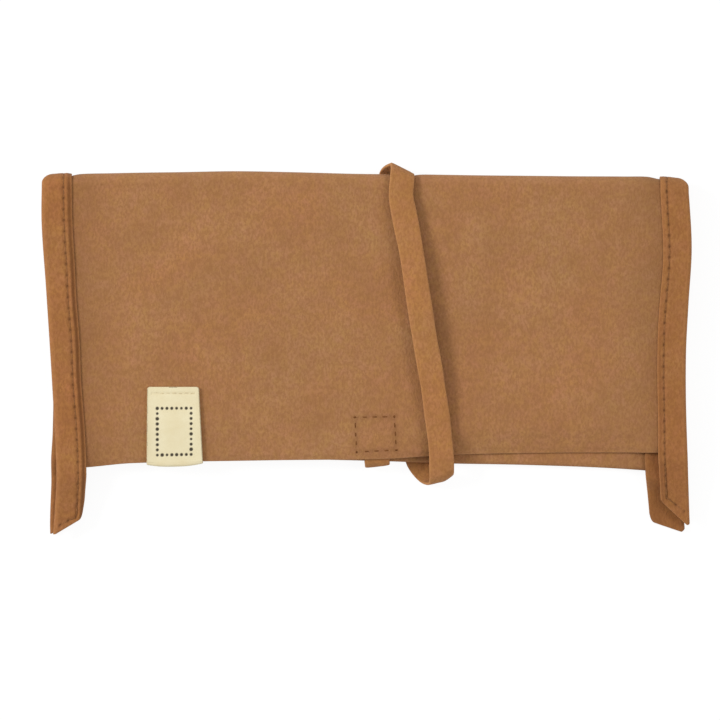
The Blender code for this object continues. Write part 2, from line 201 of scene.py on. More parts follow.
class Side:
    """Where one side's edge runs, and the ears that its strip ends in."""

    def __init__(self, name, sign, lean, shift, wider, trim, ear_front, ear_back, tip_rounding, seam_in,
                 seam_up, dark_slope, painted_ear_shade):
        self.name, self.sign = name, sign
        self.lean, self.shift, self.wider, self.trim = lean, shift, wider, trim
        self.ears = {1: ear_front, -1: ear_back}
        self.tip_rounding, self.seam_in, self.seam_up = tip_rounding, seam_in, seam_up
        self.dark_slope, self.painted_ear_shade = dark_slope, {1: painted_ear_shade[0], -1: painted_ear_shade[1]}
        self.x_mid = sign * (HALF - STRIP_WIDTH / 2)
        self.centre = fold_centre(self.x_mid)

    def below(self, y):
        return (FOLD_Y - y) / FLAP_LENGTH

    def corner(self, turn):
        """How far the rounded corner at the top fold draws the outer edge in."""
        reach = (np.sin(turn) - 1) * (FOLD_RADIUS + LEG_FAR) + CORNER_RADIUS
        return CORNER_RADIUS - np.sqrt(CORNER_RADIUS**2 - reach**2) if reach > 0 else 0.0

    def outer(self, y, half, turn=0.0):
        """X of the strip's outer edge. half is 1 on the front, -1 on the back."""
        x = self.sign * (HALF - smooth(self.lean, self.below(y)) - self.corner(turn))
        return x + smooth(self.shift, self.below(y)) if half < 0 else x

    def width(self, y, half, turn=0.0):
        share = np.clip(self.below(y), 0.0, 1.0)
        wide = mix(STRIP_WIDTH, EAR_WIDTH, share) - self.corner(turn)
        return wide + self.wider * share if half < 0 else wide - smooth(self.trim, self.below(y))

    def sheet_edge(self, y, half, turn=0.0):
        return self.outer(y, half, turn) - self.sign * (STRIP + GAP)

    def ear_end(self, inward, half):
        """Y of the ear's end, by the share from its outer edge (0) to its inner edge (1)."""
        corner, tip, rounding = self.ears[half]
        rounded = rounding * np.clip((inward - 0.8) / 0.2, 0, 1) ** 4
        blunted = self.tip_rounding * np.clip(1 - inward / 0.14, 0, 1) ** 3
        return FLAP_EDGE_Y - mix(tip, corner, inward) + rounded + blunted

    def sheet_end(self, half):
        """Y below which the strip holds no sheet and is an ear."""
        edge = flap_edge if half > 0 else back_edge
        return min(edge(self.x_mid), edge(self.sign * HALF)) - 2 * GAP


LEFT = Side("left", -1, LEFT_LEAN, BACK_SHIFT_LEFT, 0.0, LEFT_TRIM,
            (0.0184, 0.0242, 0.0035), (0.0167, 0.0241, 0.0020), tip_rounding=0.3 * MM,
            seam_in=2.6 * MM, seam_up=2.1 * MM, dark_slope=LEFT_SLOPE_SHADE, painted_ear_shade=(0.10, 0.45))
RIGHT = Side("right", 1, RIGHT_LEAN, BACK_SHIFT_RIGHT, 0.0014, RIGHT_TRIM,
             (0.0131, 0.0217, 0.0004), (0.0196, 0.0234, 0.0024), tip_rounding=1.3 * MM,
             seam_in=2.0 * MM, seam_up=3.2 * MM, dark_slope=RIGHT_SLOPE_SHADE, painted_ear_shade=(0.22, 0.60))
for side in (LEFT, RIGHT):
    print(side.name, "edge at the fold and at the foot, mm:",
          round(side.outer(FOLD_Y, 1) / MM, 1), round(side.outer(FLAP_EDGE_Y, 1) / MM, 1))

# %% [markdown]
# ## Leather as two facing grids
# A cube that is scaled flat would show hard edges, and a Solidify modifier can't make the layer thinner where
# a thread pulls it down. So every piece of leather here is two grids of points that face each other, the
# outer face and the inner face, and a rounded rim that joins them all round. The rim bulges a little, as a
# cut edge of soft leather does. Masks go along as mesh attributes, which the materials read later: where the
# leather is cut, where a needle went through it, and where it is rubbed.

# %% A closed piece of leather from two grids
RIM_BULGE = 0.18 * MM
RIM_RINGS = 3


def make_piece(name, points, faces, masks):
    """A smooth-shaded mesh object, with its faces turned outwards and one attribute for each mask."""
    a, b, c, d = (points[faces[:, k]] for k in range(4))
    volume = np.einsum("ij,ij->", a, np.cross(b, c)) + np.einsum("ij,ij->", a, np.cross(c, d))
    if volume < 0:
        faces = faces[:, ::-1]
    mesh = bpy.data.meshes.new(name)
    mesh.from_pydata(points.tolist(), [], faces.tolist())
    mesh.shade_smooth()
    for mask, values in masks.items():
        mesh.attributes.new(mask, "FLOAT", "POINT").data.foreach_set("value", values.astype(np.float32))
    piece = bpy.data.objects.new(name, mesh)
    bpy.context.scene.collection.objects.link(piece)
    print(f"{name}: {2 * len(faces)} triangles, {abs(volume) / 6e-9:.0f} cubic mm")
    return piece


def leather(name, outer, inner, masks=None, bulge=RIM_BULGE):
    """A closed piece between two grids of points, each an array of rows by columns by 3."""
    rows, columns, _ = outer.shape
    count = rows * columns
    index = np.arange(count).reshape(rows, columns)
    top = np.stack([index[:-1, :-1], index[:-1, 1:], index[1:, 1:], index[1:, :-1]], -1).reshape(-1, 4)
    loop = np.concatenate([index[0, :-1], index[:-1, -1], index[-1, :0:-1], index[:0:-1, 0]])
    j, i = np.divmod(loop, columns)
    inside = np.clip(j, 1, rows - 2) * columns + np.clip(i, 1, columns - 2)
    outer, inner = outer.reshape(-1, 3).copy(), inner.reshape(-1, 3).copy()
    outward = outer[loop] - outer[inside] + inner[loop] - inner[inside]
    outward /= np.linalg.norm(outward, axis=1, keepdims=True)
    outer[loop] -= outward * bulge
    inner[loop] -= outward * bulge

    points, rings = [outer, inner], [loop]
    for ring in range(RIM_RINGS):
        share = (ring + 1) / (RIM_RINGS + 1)
        points.append(mix(outer[loop], inner[loop], share) + outward * bulge * math.sin(math.pi * share))
        rings.append(2 * count + ring * len(loop) + np.arange(len(loop)))
    rings.append(loop + count)
    sides = [np.stack([np.roll(a, -1), a, b, np.roll(b, -1)], -1) for a, b in zip(rings, rings[1:])]

    total = 2 * count + RIM_RINGS * len(loop)
    filled = {"cut": np.zeros(total)}
    filled["cut"][2 * count:] = 1.0
    filled["cut"][loop] = 0.5
    for mask, values in (masks or {}).items():
        filled[mask] = np.zeros(total)
        filled[mask][:count] = values.ravel()
    faces = np.concatenate([top, top[:, ::-1] + count, *sides])
    return make_piece(name, np.concatenate(points), faces, filled)


def ripple(x, y, size, seed):
    """Smooth noise from about -0.5 to 0.5 over arrays of places, with hills of the given size."""
    x, y = np.broadcast_arrays(x, y)
    flat = [noise.noise(Vector((a / size, b / size, seed))) for a, b in zip(x.ravel(), y.ravel())]
    return np.array(flat).reshape(x.shape)


# %% [markdown]
# ## The sheet
# The sheet is one piece from the flap's edge, over the top fold, down the back, round the foot and up inside
# as the note pocket's wall. It is built as rows along that path. Each row knows the height of a point over
# the sheet's middle, so one set of rows gives both faces. Real suede never lies flat: low, wide hills are
# added to the flap, and they fade towards the sides, where the strips hold it down. The flap's free edge
# droops on to what lies under it, and the fold at the top swells beside the strips and is pressed in a little
# by the lace.

# %% The sheet's rows
COLUMNS = 190
CLOSE_ROWS_TO = 0.035
BOX = np.array([(-3.67, -21.45), (8.76, -21.26), (9.40, -31.83), (-3.16, -32.40)]) * MM
EDGE_DROOP = [(-0.092, 0.0), (-0.082, 0.0012), (-0.050, 0.0012), (-0.030, 0.0014), (-0.012, 0.0),
              (0.011, 0.0), (0.022, 0.0018), (0.036, 0.0025), (0.082, 0.0025), (0.092, 0.0010)]
DROOP_REACH_LEFT = 14 * MM
DROOP_REACH_RIGHT = 9 * MM
EDGE_PARED = 0.5 * MM
EDGE_PARED_OVER = 2 * MM
STRIP_HOLDS, STRIP_HOLDS_OVER = 12 * MM, 22 * MM
FOLD_HOLDS_OVER = 20 * MM
EDGE_CALMS, EDGE_CALMS_OVER = 0.45, 16 * MM
HILL, HILL_SIZE = 1.1 * MM, 46 * MM
WAVE, WAVE_SIZE = 0.30 * MM, 15 * MM
HILL_RAISE, HILL_FLOOR = 0.10 * MM, -0.16 * MM
BACK_WAVE, BACK_WAVE_SIZE = 0.12 * MM, 24 * MM
STRIP_FLATTENS, STRIP_FLATTENS_OVER = 11 * MM, 8 * MM
SIDES_DROOP_OVER = 20 * MM
BOX_TROUGH, BOX_TROUGH_WIDTH = 0.10 * MM, 0.9 * MM
FOLD_SWELL = [(-0.102, 0.0), (-0.0945, 0.0), (-0.0905, 0.0006), (-0.080, 0.0005), (-0.055, 0.0), (0.060, 0.0),
              (0.082, 0.0003), (0.089, 0.0005), (0.0925, 0.0), (0.102, 0.0)]
DENT = 0.9 * MM
DENT_X = 12 * MM
DENT_WIDTH = 3.2 * MM
# Painted shade on the sheet beside the strips: how far it reaches and how deep it is.
PAINTED_SHADE_REACH = 7 * MM
SHEET_PAINTED_SHADE = 0.5


def swell(x, y):
    """How far the flap's leather stands off its flat middle: low hills, and an edge that droops.

    The hills are cut off below, so that the leather never sinks into the layer under it.
    """
    held = ease((HALF - STRIP_HOLDS - np.abs(x)) / STRIP_HOLDS_OVER)
    held = held * ease((fold_centre(x) - y) / FOLD_HOLDS_OVER)
    free = mix(EDGE_CALMS, 1.0, ease((y - flap_edge(x)) / EDGE_CALMS_OVER))
    hills = HILL * ripple(x, 1.25 * y, HILL_SIZE, 0.37) + WAVE * ripple(x, y, WAVE_SIZE, 2.2)
    reach = mix(DROOP_REACH_LEFT, DROOP_REACH_RIGHT, ease(x / SIDES_DROOP_OVER))
    droop = smooth(EDGE_DROOP, x) * ease(1 - (y - flap_edge(x)) / reach)
    return held * free * np.maximum(hills + HILL_RAISE, HILL_FLOOR) - droop


def way_from(x, y, a, b):
    """Distance of places from the straight line between a and b."""
    way = (b - a) / np.linalg.norm(b - a)
    along = np.clip((x - a[0]) * way[0] + (y - a[1]) * way[1], 0, np.linalg.norm(b - a))
    return np.hypot(x - a[0] - along * way[0], y - a[1] - along * way[1])


def box_distance(x, y):
    """Distance from the square of stitches that holds the lace's end."""
    return np.min([way_from(x, y, a, b) for a, b in zip(BOX, np.roll(BOX, -1, axis=0))], axis=0)


def sheet_rows():
    """(place, half, turn) for each row, where place takes an array of x and a height, and gives y and z."""
    rows = []
    foot = FOOT_RADIUS + SUEDE / 2
    near_edge = np.linspace(0, CLOSE_ROWS_TO, 8, endpoint=False)
    far_from_edge = np.linspace(CLOSE_ROWS_TO, 1, 80, endpoint=False)
    for share in [*near_edge, *far_from_edge]:
        rows.append((lambda x, h, s=share: (mix(flap_edge(x), fold_centre(x), s), FLAP_MID + h), 1, 0.0))
    for turn in np.linspace(0, math.pi, 24):
        rows.append((lambda x, h, a=turn: (fold_centre(x) + (FOLD_RADIUS + h) * math.sin(a),
                                           FOLD_MID + (FOLD_RADIUS + h) * math.cos(a)),
                     1 if turn < math.pi / 2 else -1, turn))
    for share in np.linspace(0, 1, 42)[1:]:
        rows.append((lambda x, h, s=share: (mix(fold_centre(x), back_edge(x) + foot, s), BACK_MID - h),
                     -1, 0.0))
    for turn in np.linspace(0, math.pi, 10)[1:]:
        rows.append((lambda x, h, a=turn: (back_edge(x) + foot - (FOOT_RADIUS + h) * math.sin(a),
                                           BACK_MID + FOOT_RADIUS - (FOOT_RADIUS + h) * math.cos(a)),
                     -1, 0.0))
    for share in np.linspace(0, 1, 26)[1:]:
        rows.append((lambda x, h, s=share: (mix(back_edge(x) + foot, note_mouth(x), s),
                                            BACK_MID + 2 * FOOT_RADIUS + h),
                     -1, 0.0))
    return rows


def build_sheet():
    outer, inner, needle, rub, painted_shade = [], [], [], [], []
    for row, (place, half, turn) in enumerate(sheet_rows()):
        left = LEFT.sheet_edge(place(-HALF, 0.0)[0], half, turn)
        right = RIGHT.sheet_edge(place(HALF, 0.0)[0], half, turn)
        x = np.linspace(left, right, COLUMNS)
        y = place(x, 0.0)[0]
        on_flap = half > 0 and turn == 0.0
        trough = np.exp(-(box_distance(x, y) / BOX_TROUGH_WIDTH) ** 2) * on_flap
        row_at = np.full_like(x, row * MM)
        stand = swell(x, y) if on_flap else BACK_WAVE * ripple(x, row_at, BACK_WAVE_SIZE, 5.1)
        stand = stand * ease((HALF - STRIP_FLATTENS - np.abs(x)) / STRIP_FLATTENS_OVER)
        dent = DENT * np.exp(-((x - DENT_X) / DENT_WIDTH) ** 2)
        stand = stand + math.sin(turn) * (smooth(FOLD_SWELL, x) - dent)
        pared = EDGE_PARED * on_flap * ease(1 - (y - flap_edge(x)) / EDGE_PARED_OVER)
        outer_height = SUEDE / 2 + stand - BOX_TROUGH * trough - pared
        for grid, height in ((outer, outer_height), (inner, -SUEDE / 2 + stand)):
            grid.append(np.stack([x, *place(x, height)], -1))
        # Painted shade in the trough round the lace's square of stitches.
        needle.append(0.25 * trough)
        rub.append(np.full_like(x, 0.4 * math.sin(turn)))
        # Painted shade: the sheet is darker near the strips, fading with the distance from them.
        from_strip = np.minimum(x - left, right - x) - STRIP_WIDTH
        painted_shade.append(SHEET_PAINTED_SHADE * np.exp(-np.clip(from_strip, 0, None) / PAINTED_SHADE_REACH))
    return leather("outer_suede", np.array(outer), np.array(inner),
                   {"needle": np.array(needle), "rub": np.array(rub), "painted_shade": np.array(painted_shade)})


outer_suede = build_sheet()
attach(outer_suede, "root")
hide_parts("outer_sheet")

# %% [markdown]
# ## The strips round the sides
# Each strip is folded round the sheet's edge and sewn through. Seen from above, three things tell the eye
# that it is sewn: the seam lies in a trough, the lip between the seam and the cut edge puckers at each
# stitch, and the needle holes and the trough are painted dark, as painted shade. To have them on the front,
# over the fold and on the back alike, the strip gets its own map: `edge` is the distance from its inner edge
# and `run` is the way along it, with zero at the top fold. The seam is a line on that map, and it turns along
# the slanted end of each ear.

# %% The seam on the strip's own map
STITCH = 3.45 * MM
EAR_CLOSES_OVER = 6.0 * MM
EAR_DROOP = 3.0 * MM
STRIP_EASES_OVER = 6.0 * MM
FOLD_RUN = math.pi * (FOLD_RADIUS + LEG_FAR)
SEAM_FROM_TIP = 2.2 * MM
HOLE_LONG, HOLE_WIDE = 0.60 * MM, 0.36 * MM


def run_of(side, y, half):
    """The way along the strip of a place at y on the front or on the back."""
    return y - side.centre if half > 0 else FOLD_RUN + side.centre - y


def seam_corners(side):
    """The seam's four corners as (edge, run): front ear's tip, its turn, the back ear's turn, and its tip."""
    corners = []
    for half in (1, -1):
        wide = EAR_WIDTH + (side.wider if half < 0 else 0.0)
        turn = side.ear_end(1 - side.seam_in / wide * 1.2, half) + side.seam_up
        tip = side.ear_end(SEAM_FROM_TIP / wide, half) + side.seam_up
        corners.append((wide - SEAM_FROM_TIP, run_of(side, tip, half)))
        corners.append((side.seam_in, run_of(side, turn, half)))
    return np.array([corners[0], corners[1], corners[3], corners[2]])


def walk(corners, pitch):
    """Points along a path at an even pitch, with the way that the path goes there."""
    points, ways = [], []
    for a, b in zip(corners, corners[1:]):
        length = np.linalg.norm(b - a)
        count = max(1, round(length / pitch))
        for k in range(count):
            points.append(mix(a, b, k / count))
            ways.append((b - a) / length)
    points.append(corners[-1])
    ways.append(ways[-1])
    return np.array(points), np.array(ways)


def seam_masks(side, edge, run):
    """How near each place is to the seam, to a needle hole, and where it is between two holes."""
    corners = seam_corners(side)
    near = np.full(edge.shape, 1.0)
    for a, b in zip(corners, corners[1:]):
        near = np.minimum(near, way_from(edge, run, a, b))
    holes, ways = walk(corners, STITCH)
    hole = np.zeros(edge.shape)
    for (e, r), (we, wr) in zip(holes, ways):
        along = (edge - e) * we + (run - r) * wr
        across = (edge - e) * wr - (run - r) * we
        hole = np.maximum(hole, np.exp(-(along / HOLE_LONG) ** 2 - (across / HOLE_WIDE) ** 2))
    return near, hole


for side in (LEFT, RIGHT):
    print(side.name, "seam:", len(walk(seam_corners(side), STITCH)[0]) - 1, "stitches")


# %% The strip's section and rows
EAR_ROWS = 34
FRONT_ROWS = 220
FOLD_ROWS = 24
BACK_ROWS = 130


def leg_heights(side, half, y):
    """Heights over the sheet's middle of the strip's two legs: outer, inner, inner and outer faces."""
    closed = ease((side.sheet_end(half) - y) / EAR_CLOSES_OVER)
    if half > 0:
        shut = (LEG_NEAR - GAP / 2) * closed
        droop = EAR_DROOP * ease((side.sheet_end(half) - y) / (3 * EAR_CLOSES_OVER))
        return (LEG_FAR - shut - droop, LEG_NEAR - shut - droop,
                shut - LEG_NEAR - droop, shut - LEG_FAR - droop)
    mouth = max(note_mouth(side.x_mid), note_mouth(side.sign * HALF)) + GAP
    ply = (SUEDE + GAP) * (1 - ease((y - mouth) / STRIP_EASES_OVER))
    near = mix(-LEG_NEAR - ply, LEG_NEAR - GAP, closed)
    return LEG_FAR, LEG_NEAR, near, near - STRIP


def strip_section(wide, heights):
    """Pairs (distance in from the outer edge, height) on the strip's outside and inside, and the leg of each:
    1 on the leg that shows, 0 on the fold, -1 on the leg that lies inside."""
    far, near, low_near, low_far = heights
    fillet = GAP / 3
    bend = STRIP + fillet
    outside, inside, leg = [], [], []
    for share in np.linspace(1, 0, 26, endpoint=False):
        outside.append((mix(bend, wide, share), far))
        inside.append((mix(bend, wide, share), near))
        leg.append(1)
    for turn in np.linspace(0, math.pi / 2, 7):
        outside.append((bend * (1 - math.sin(turn)), far - bend * (1 - math.cos(turn))))
        inside.append((bend - fillet * math.sin(turn), near - fillet * (1 - math.cos(turn))))
        leg.append(0)
    for turn in np.linspace(math.pi / 2, 0, 7):
        outside.append((bend * (1 - math.sin(turn)), low_far + bend * (1 - math.cos(turn))))
        inside.append((bend - fillet * math.sin(turn), low_near + fillet * (1 - math.cos(turn))))
        leg.append(0)
    for share in np.linspace(0, 1, 9)[1:]:
        outside.append((mix(bend, wide, share), low_far))
        inside.append((mix(bend, wide, share), low_near))
        leg.append(-1)
    return np.array(outside), np.array(inside), np.array(leg)


def strip_rows(side):
    """(y, half, turn, place) for each row, where place takes the share inwards, x and a height."""
    def straight(half, count):
        end = side.sheet_end(half)
        rows = []
        for share in np.linspace(0, 1, EAR_ROWS, endpoint=False):
            rows.append((mix(side.ear_end(0.5, half), end, share), half, 0.0,
                         lambda q, x, h, s=share: (mix(side.ear_end(np.clip(q, 0, 1), half), end, s), h)))
        for share in np.linspace(0, 1, count, endpoint=False):
            rows.append((mix(end, side.centre, share), half, 0.0,
                         lambda q, x, h, s=share: (mix(end, fold_centre(x), s), h)))
        return rows

    over = [(side.centre, 1 if turn < math.pi / 2 else -1, turn, None)
            for turn in np.linspace(0, math.pi, FOLD_ROWS)]
    return straight(1, FRONT_ROWS) + over + straight(-1, BACK_ROWS)[::-1]


# %% [markdown]
# The leather is pressed most on the side that shows, so the outer face follows the trough and the inner face
# only a third of it. The strip's inner edge wanders a little, because a hand and a pair of shears cut it.

# %% Both strips
STRETCH = 0.38 * MM
WANDER, WANDER_SIZE = 0.34 * MM, 17 * MM
SEAM_TROUGH, SEAM_TROUGH_WIDTH = 0.19 * MM, 0.50 * MM
HOLE_DEPTH = 0.26 * MM
LIP, LIP_PUCKERS = 0.05 * MM, 0.10 * MM
LIP_FROM_SEAM, LIP_WIDTH = 0.95 * MM, 0.55 * MM
RIDGE = 0.06 * MM
RIDGE_FROM_SEAM, RIDGE_WIDTH = 1.1 * MM, 0.7 * MM
UNEVEN, UNEVEN_FINE, UNEVEN_WIDE = 0.09 * MM, 3.1 * MM, 9 * MM
EDGE_FALL = 0.82 * MM
EDGE_SLOPES_OVER = 1.7 * MM
RIM_REST = 0.08 * MM


def over_heights(turn):
    """The strip is stretched over the top fold, and thinner there."""
    return LEG_FAR - STRETCH * math.sin(turn), LEG_NEAR, -LEG_NEAR, -LEG_FAR


def strip_wander(run, seed):
    """How far the strip's cut edge strays from its line."""
    return WANDER * ripple(run, np.zeros_like(run), WANDER_SIZE, seed)


def edge_falls(edge):
    """The strip's inner edge is pared, and slopes down to the sheet over a short way."""
    return ease(1 - edge / EDGE_SLOPES_OVER)


def press(side, edge, run, hole, near, turn):
    """Height added to the outer face: the trough at the seam, the puckered lip, the plump middle, and the
    pared edge."""
    pucker = 0.5 + 0.5 * np.cos(2 * math.pi * run / STITCH)
    lip = np.exp(-((edge - side.seam_in + LIP_FROM_SEAM) / LIP_WIDTH) ** 2)
    ridge = np.exp(-((edge - side.seam_in - RIDGE_FROM_SEAM) / RIDGE_WIDTH) ** 2)
    rough = ripple(edge, run, UNEVEN_FINE, 3.0 + side.sign)
    rough = rough + 0.8 * ripple(edge, run, UNEVEN_WIDE, 5.0 + side.sign)
    sewn = (-SEAM_TROUGH * np.exp(-(near / SEAM_TROUGH_WIDTH) ** 2) - HOLE_DEPTH * hole
            + (LIP + LIP_PUCKERS * pucker) * lip + RIDGE * ridge)
    fall = EDGE_FALL * (1 - 0.8 * math.sin(turn)) * edge_falls(edge)
    return sewn * (1 - 0.55 * math.sin(turn)) + UNEVEN * rough - fall


def build_strip(side):
    outer, inner, needle, rub, painted_shade = [], [], [], [], []
    for y, half, turn, place in strip_rows(side):
        heights = leg_heights(side, half, y) if place else over_heights(turn)
        run = run_of(side, y, half) if place else np.float64(turn / math.pi * FOLD_RUN)
        wide = side.width(y, half, turn) + strip_wander(np.array(run), 7.0 + side.sign)
        outside, inside, leg = strip_section(wide, heights)
        x_edge = side.outer(y, half, turn)
        shows = np.where(leg == 1, ease(outside[:, 0] / (2 * STRIP)), 0.0)
        for grid, section, share in ((outer, outside, 1.0), (inner, inside, 0.33)):
            inward, height = section.T
            x = x_edge - side.sign * inward
            at_y = place(inward / wide, x, height)[0] if place else np.full_like(x, side.centre)
            runs = run_of(side, at_y, half) if place else np.full_like(x, run)
            near, hole = seam_masks(side, wide - inward, runs)
            height = height + share * shows * press(side, wide - inward, runs, hole, near, turn)
            if place:
                z = FLAP_MID + height if half > 0 else np.maximum(BACK_MID - height, RIM_REST)
                grid.append(np.stack([x, at_y, z], -1))
            else:
                centre = fold_centre(x)
                reach = FOLD_RADIUS + height
                z = np.maximum(FOLD_MID + reach * math.cos(turn), RIM_REST)
                grid.append(np.stack([x, centre + reach * math.sin(turn), z], -1))
            if share == 1.0:
                # Painted shade in the needle holes, and faintly along the seam's trough.
                needle.append(shows * np.maximum(hole, 0.10 * np.exp(-(near / (0.42 * MM)) ** 2)))
                frayed = 0.8 * (leg == 1) * (wide - inward < 0.1 * MM)
                rub.append(np.where(leg == 0, 0.5, 0.0) + 0.3 * math.sin(turn) + frayed)
                # Painted shade: the slope of the pared edge is darkened in a band.
                falls = edge_falls(wide - inward)
                slope_shade = smooth(side.dark_slope, side.below(y)) * shows * 4 * falls * (1 - falls)
                # Painted shade on the ears, deepest on the back ears, which lie lower than the front ones.
                on_ear = ease((side.sheet_end(half) - y) / EAR_CLOSES_OVER) if half > 0 else leg < 1
                painted_shade.append(slope_shade + side.painted_ear_shade[half] * on_ear)
    strip = leather(side.name + "_strip", np.array(outer), np.array(inner),
                    {"needle": np.array(needle), "rub": np.array(rub), "painted_shade": np.array(painted_shade)})
    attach(strip, "root")
    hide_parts(side.name + "_binding")
    return strip


strips = [build_strip(LEFT), build_strip(RIGHT)]

# %% [markdown]
# ## Thread
# A seam's stitches are short tubes that dive into the leather at each needle hole. A bevelled curve could
# make them, but fifty small curves are slow to edit, so one function lofts rings of points along each
# stitch and all the stitches of a seam go into one mesh. The thread lies on the bottom of the trough.

# %% Stitches as short tubes
THREAD = 0.16 * MM
THREAD_REST = 1.2 * THREAD
TUBE_SIDES = 7
TUBE_END = 0.18


def tube(points, radius):
    """Points and faces of a closed tube that follows a path of points."""
    points = np.array(points)
    way = np.gradient(points, axis=0)
    way /= np.linalg.norm(way, axis=1, keepdims=True)
    across = np.cross(way, (0.013, 0.021, 1.0))
    across /= np.linalg.norm(across, axis=1, keepdims=True)
    up = np.cross(across, way)
    turns = np.linspace(0, 2 * math.pi, TUBE_SIDES, endpoint=False)
    taper = radius * np.sin(np.linspace(TUBE_END, math.pi - TUBE_END, len(points))) ** 0.25
    rings = (points[:, None] + taper[:, None, None] * (across[:, None] * np.cos(turns)[None, :, None]
                                                       + up[:, None] * np.sin(turns)[None, :, None]))
    index = np.arange(len(points) * TUBE_SIDES).reshape(len(points), TUBE_SIDES)
    beside = np.roll(index, -1, axis=1)
    walls = np.stack([index[:-1], beside[:-1], beside[1:], index[1:]], -1).reshape(-1, 4)
    ends = []
    for ring, at in ((index[0], len(points) * TUBE_SIDES), (index[-1], len(points) * TUBE_SIDES + 1)):
        ends.append(np.stack([ring, np.roll(ring, -1), np.full_like(ring, at), np.full_like(ring, at)], -1))
    return np.concatenate([rings.reshape(-1, 3), points[[0, -1]]]), walls, np.concatenate(ends)


def sew(name, stitches, radius=THREAD):
    """One mesh with all the stitches, each a path of points."""
    points, faces, start = [], [], 0
    for path in stitches:
        found, walls, ends = tube(path, radius)
        count = len(path) * TUBE_SIDES
        points += found.tolist()
        faces += (walls + start).tolist()
        faces += [[a, b, c] if c == count + start else [b, a, c] for a, b, c, _ in (ends + start).tolist()]
        start += len(found)
    mesh = bpy.data.meshes.new(name)
    mesh.from_pydata(points, [], faces)
    mesh.shade_smooth()
    thread = bpy.data.objects.new(name, mesh)
    bpy.context.scene.collection.objects.link(thread)
    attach(thread, "root")
    print(f"{name}: {len(stitches)} stitches")
    return thread


def stitch_depths(steps=9, sunk=0.42 * MM):
    """Height of the thread's middle over the trough along one stitch, from hole to hole."""
    share = np.linspace(0, 1, steps)
    return share, THREAD * 0.15 - sunk * np.abs(2 * share - 1) ** 4


def on_strip(side, edge, run, lift):
    """The place in space of a point on the strip's map, at a height over its outer face."""
    turn = np.clip(run / FOLD_RUN, 0, 1) * math.pi
    half = 1 if turn < math.pi / 2 else -1
    y = side.centre + run if run < 0 else side.centre - max(run - FOLD_RUN, 0.0)
    x = side.outer(y, half, turn) - side.sign * (side.width(y, half, turn)
                                                 + strip_wander(np.array(run), 7.0 + side.sign) - edge)
    if 0 < turn < math.pi:
        reach = FOLD_RADIUS + over_heights(turn)[0] + lift
        z = max(FOLD_MID + reach * math.cos(turn), THREAD_REST)
        return x, fold_centre(x) + reach * math.sin(turn), z
    height = leg_heights(side, half, y)[0] + lift
    return x, y, FLAP_MID + height if half > 0 else max(BACK_MID - height, THREAD_REST)


def sew_strip(side):
    holes, _ = walk(seam_corners(side), STITCH)
    stitches = []
    for a, b in zip(holes, holes[1:]):
        path = []
        for share, depth in zip(*stitch_depths()):
            edge, run = mix(a, b, share)
            near, hole = seam_masks(side, np.array(edge), np.array(run))
            turn = np.clip(run / FOLD_RUN, 0, 1) * math.pi
            path.append(on_strip(side, edge, run, press(side, edge, run, hole, near, turn) + depth))
        stitches.append(path)
    return sew(side.name + "_seam", stitches)


seams = [sew_strip(LEFT), sew_strip(RIGHT)]


# %% The square of stitches on the flap
BOX_SHOWS = 0.64
BOX_KNOT_SHOWS = 0.24
BOX_THREAD = 0.18 * MM
BOX_KNOT = 0.30 * MM


def box_stitches(knots, count=4):
    """The dashes between the corners, or the knots at the corners. No dash is quite like the next."""
    stitches = []
    for side_at, (a, b) in enumerate(zip(BOX, np.roll(BOX, -1, axis=0))):
        for k in [0] if knots else range(1, count):
            uneven = noise.noise(Vector((1.7 * k, 3.1 * side_at, 0.5)))
            shows = BOX_KNOT_SHOWS if knots else BOX_SHOWS * (1 + 0.6 * uneven)
            start, end = k + 0.12 * uneven - shows / 2, k + 0.12 * uneven + shows / 2
            path = []
            for share, depth in zip(*stitch_depths(sunk=0.45 * MM)):
                x, y = mix(a, b, mix(start, end, share) / count)
                surface = FLAP_MID + SUEDE / 2 + float(swell(np.array(x), np.array(y))) - 0.12 * MM
                path.append((x, y, surface + depth))
            stitches.append(path)
    return stitches


box_seam = sew("strap_box_seam", box_stitches(knots=False), radius=BOX_THREAD)
box_knots = sew("strap_box_knots", box_stitches(knots=True), radius=BOX_KNOT)

# %% [markdown]
# ## The lace
# The lace is a flat strip of the same suede. It is a ribbon along a smooth path: each station says where the
# ribbon's middle is and which way its outer face looks, so it can twist as a real lace does where it turns
# round the foot. It is sewn behind the flap, goes up behind the wallet, over the fold, down the front in a
# soft bow, round the foot in a loose loop and up behind again.

# %% The lace's path
LACE_WIDTH = 7.8 * MM
LACE_LEAN = 20.7 * MM
LACE_BOW = 3.1 * MM
LACE_TAB = 0.7 * MM
LACE_LOOP_DROP = 5.3 * MM
LACE_CROWN_SLACK = 1.5 * MM
LACE_UNEVEN, LACE_UNEVEN_SIZE = 0.5 * MM, 13 * MM
PATCH_X = 3.1 * MM
PATCH_RAISE = 7.4 * MM
PATCH_HEIGHT = 13.8 * MM
PATCH_WIDTH = 16.0 * MM
PANEL = panel_top - panel_under


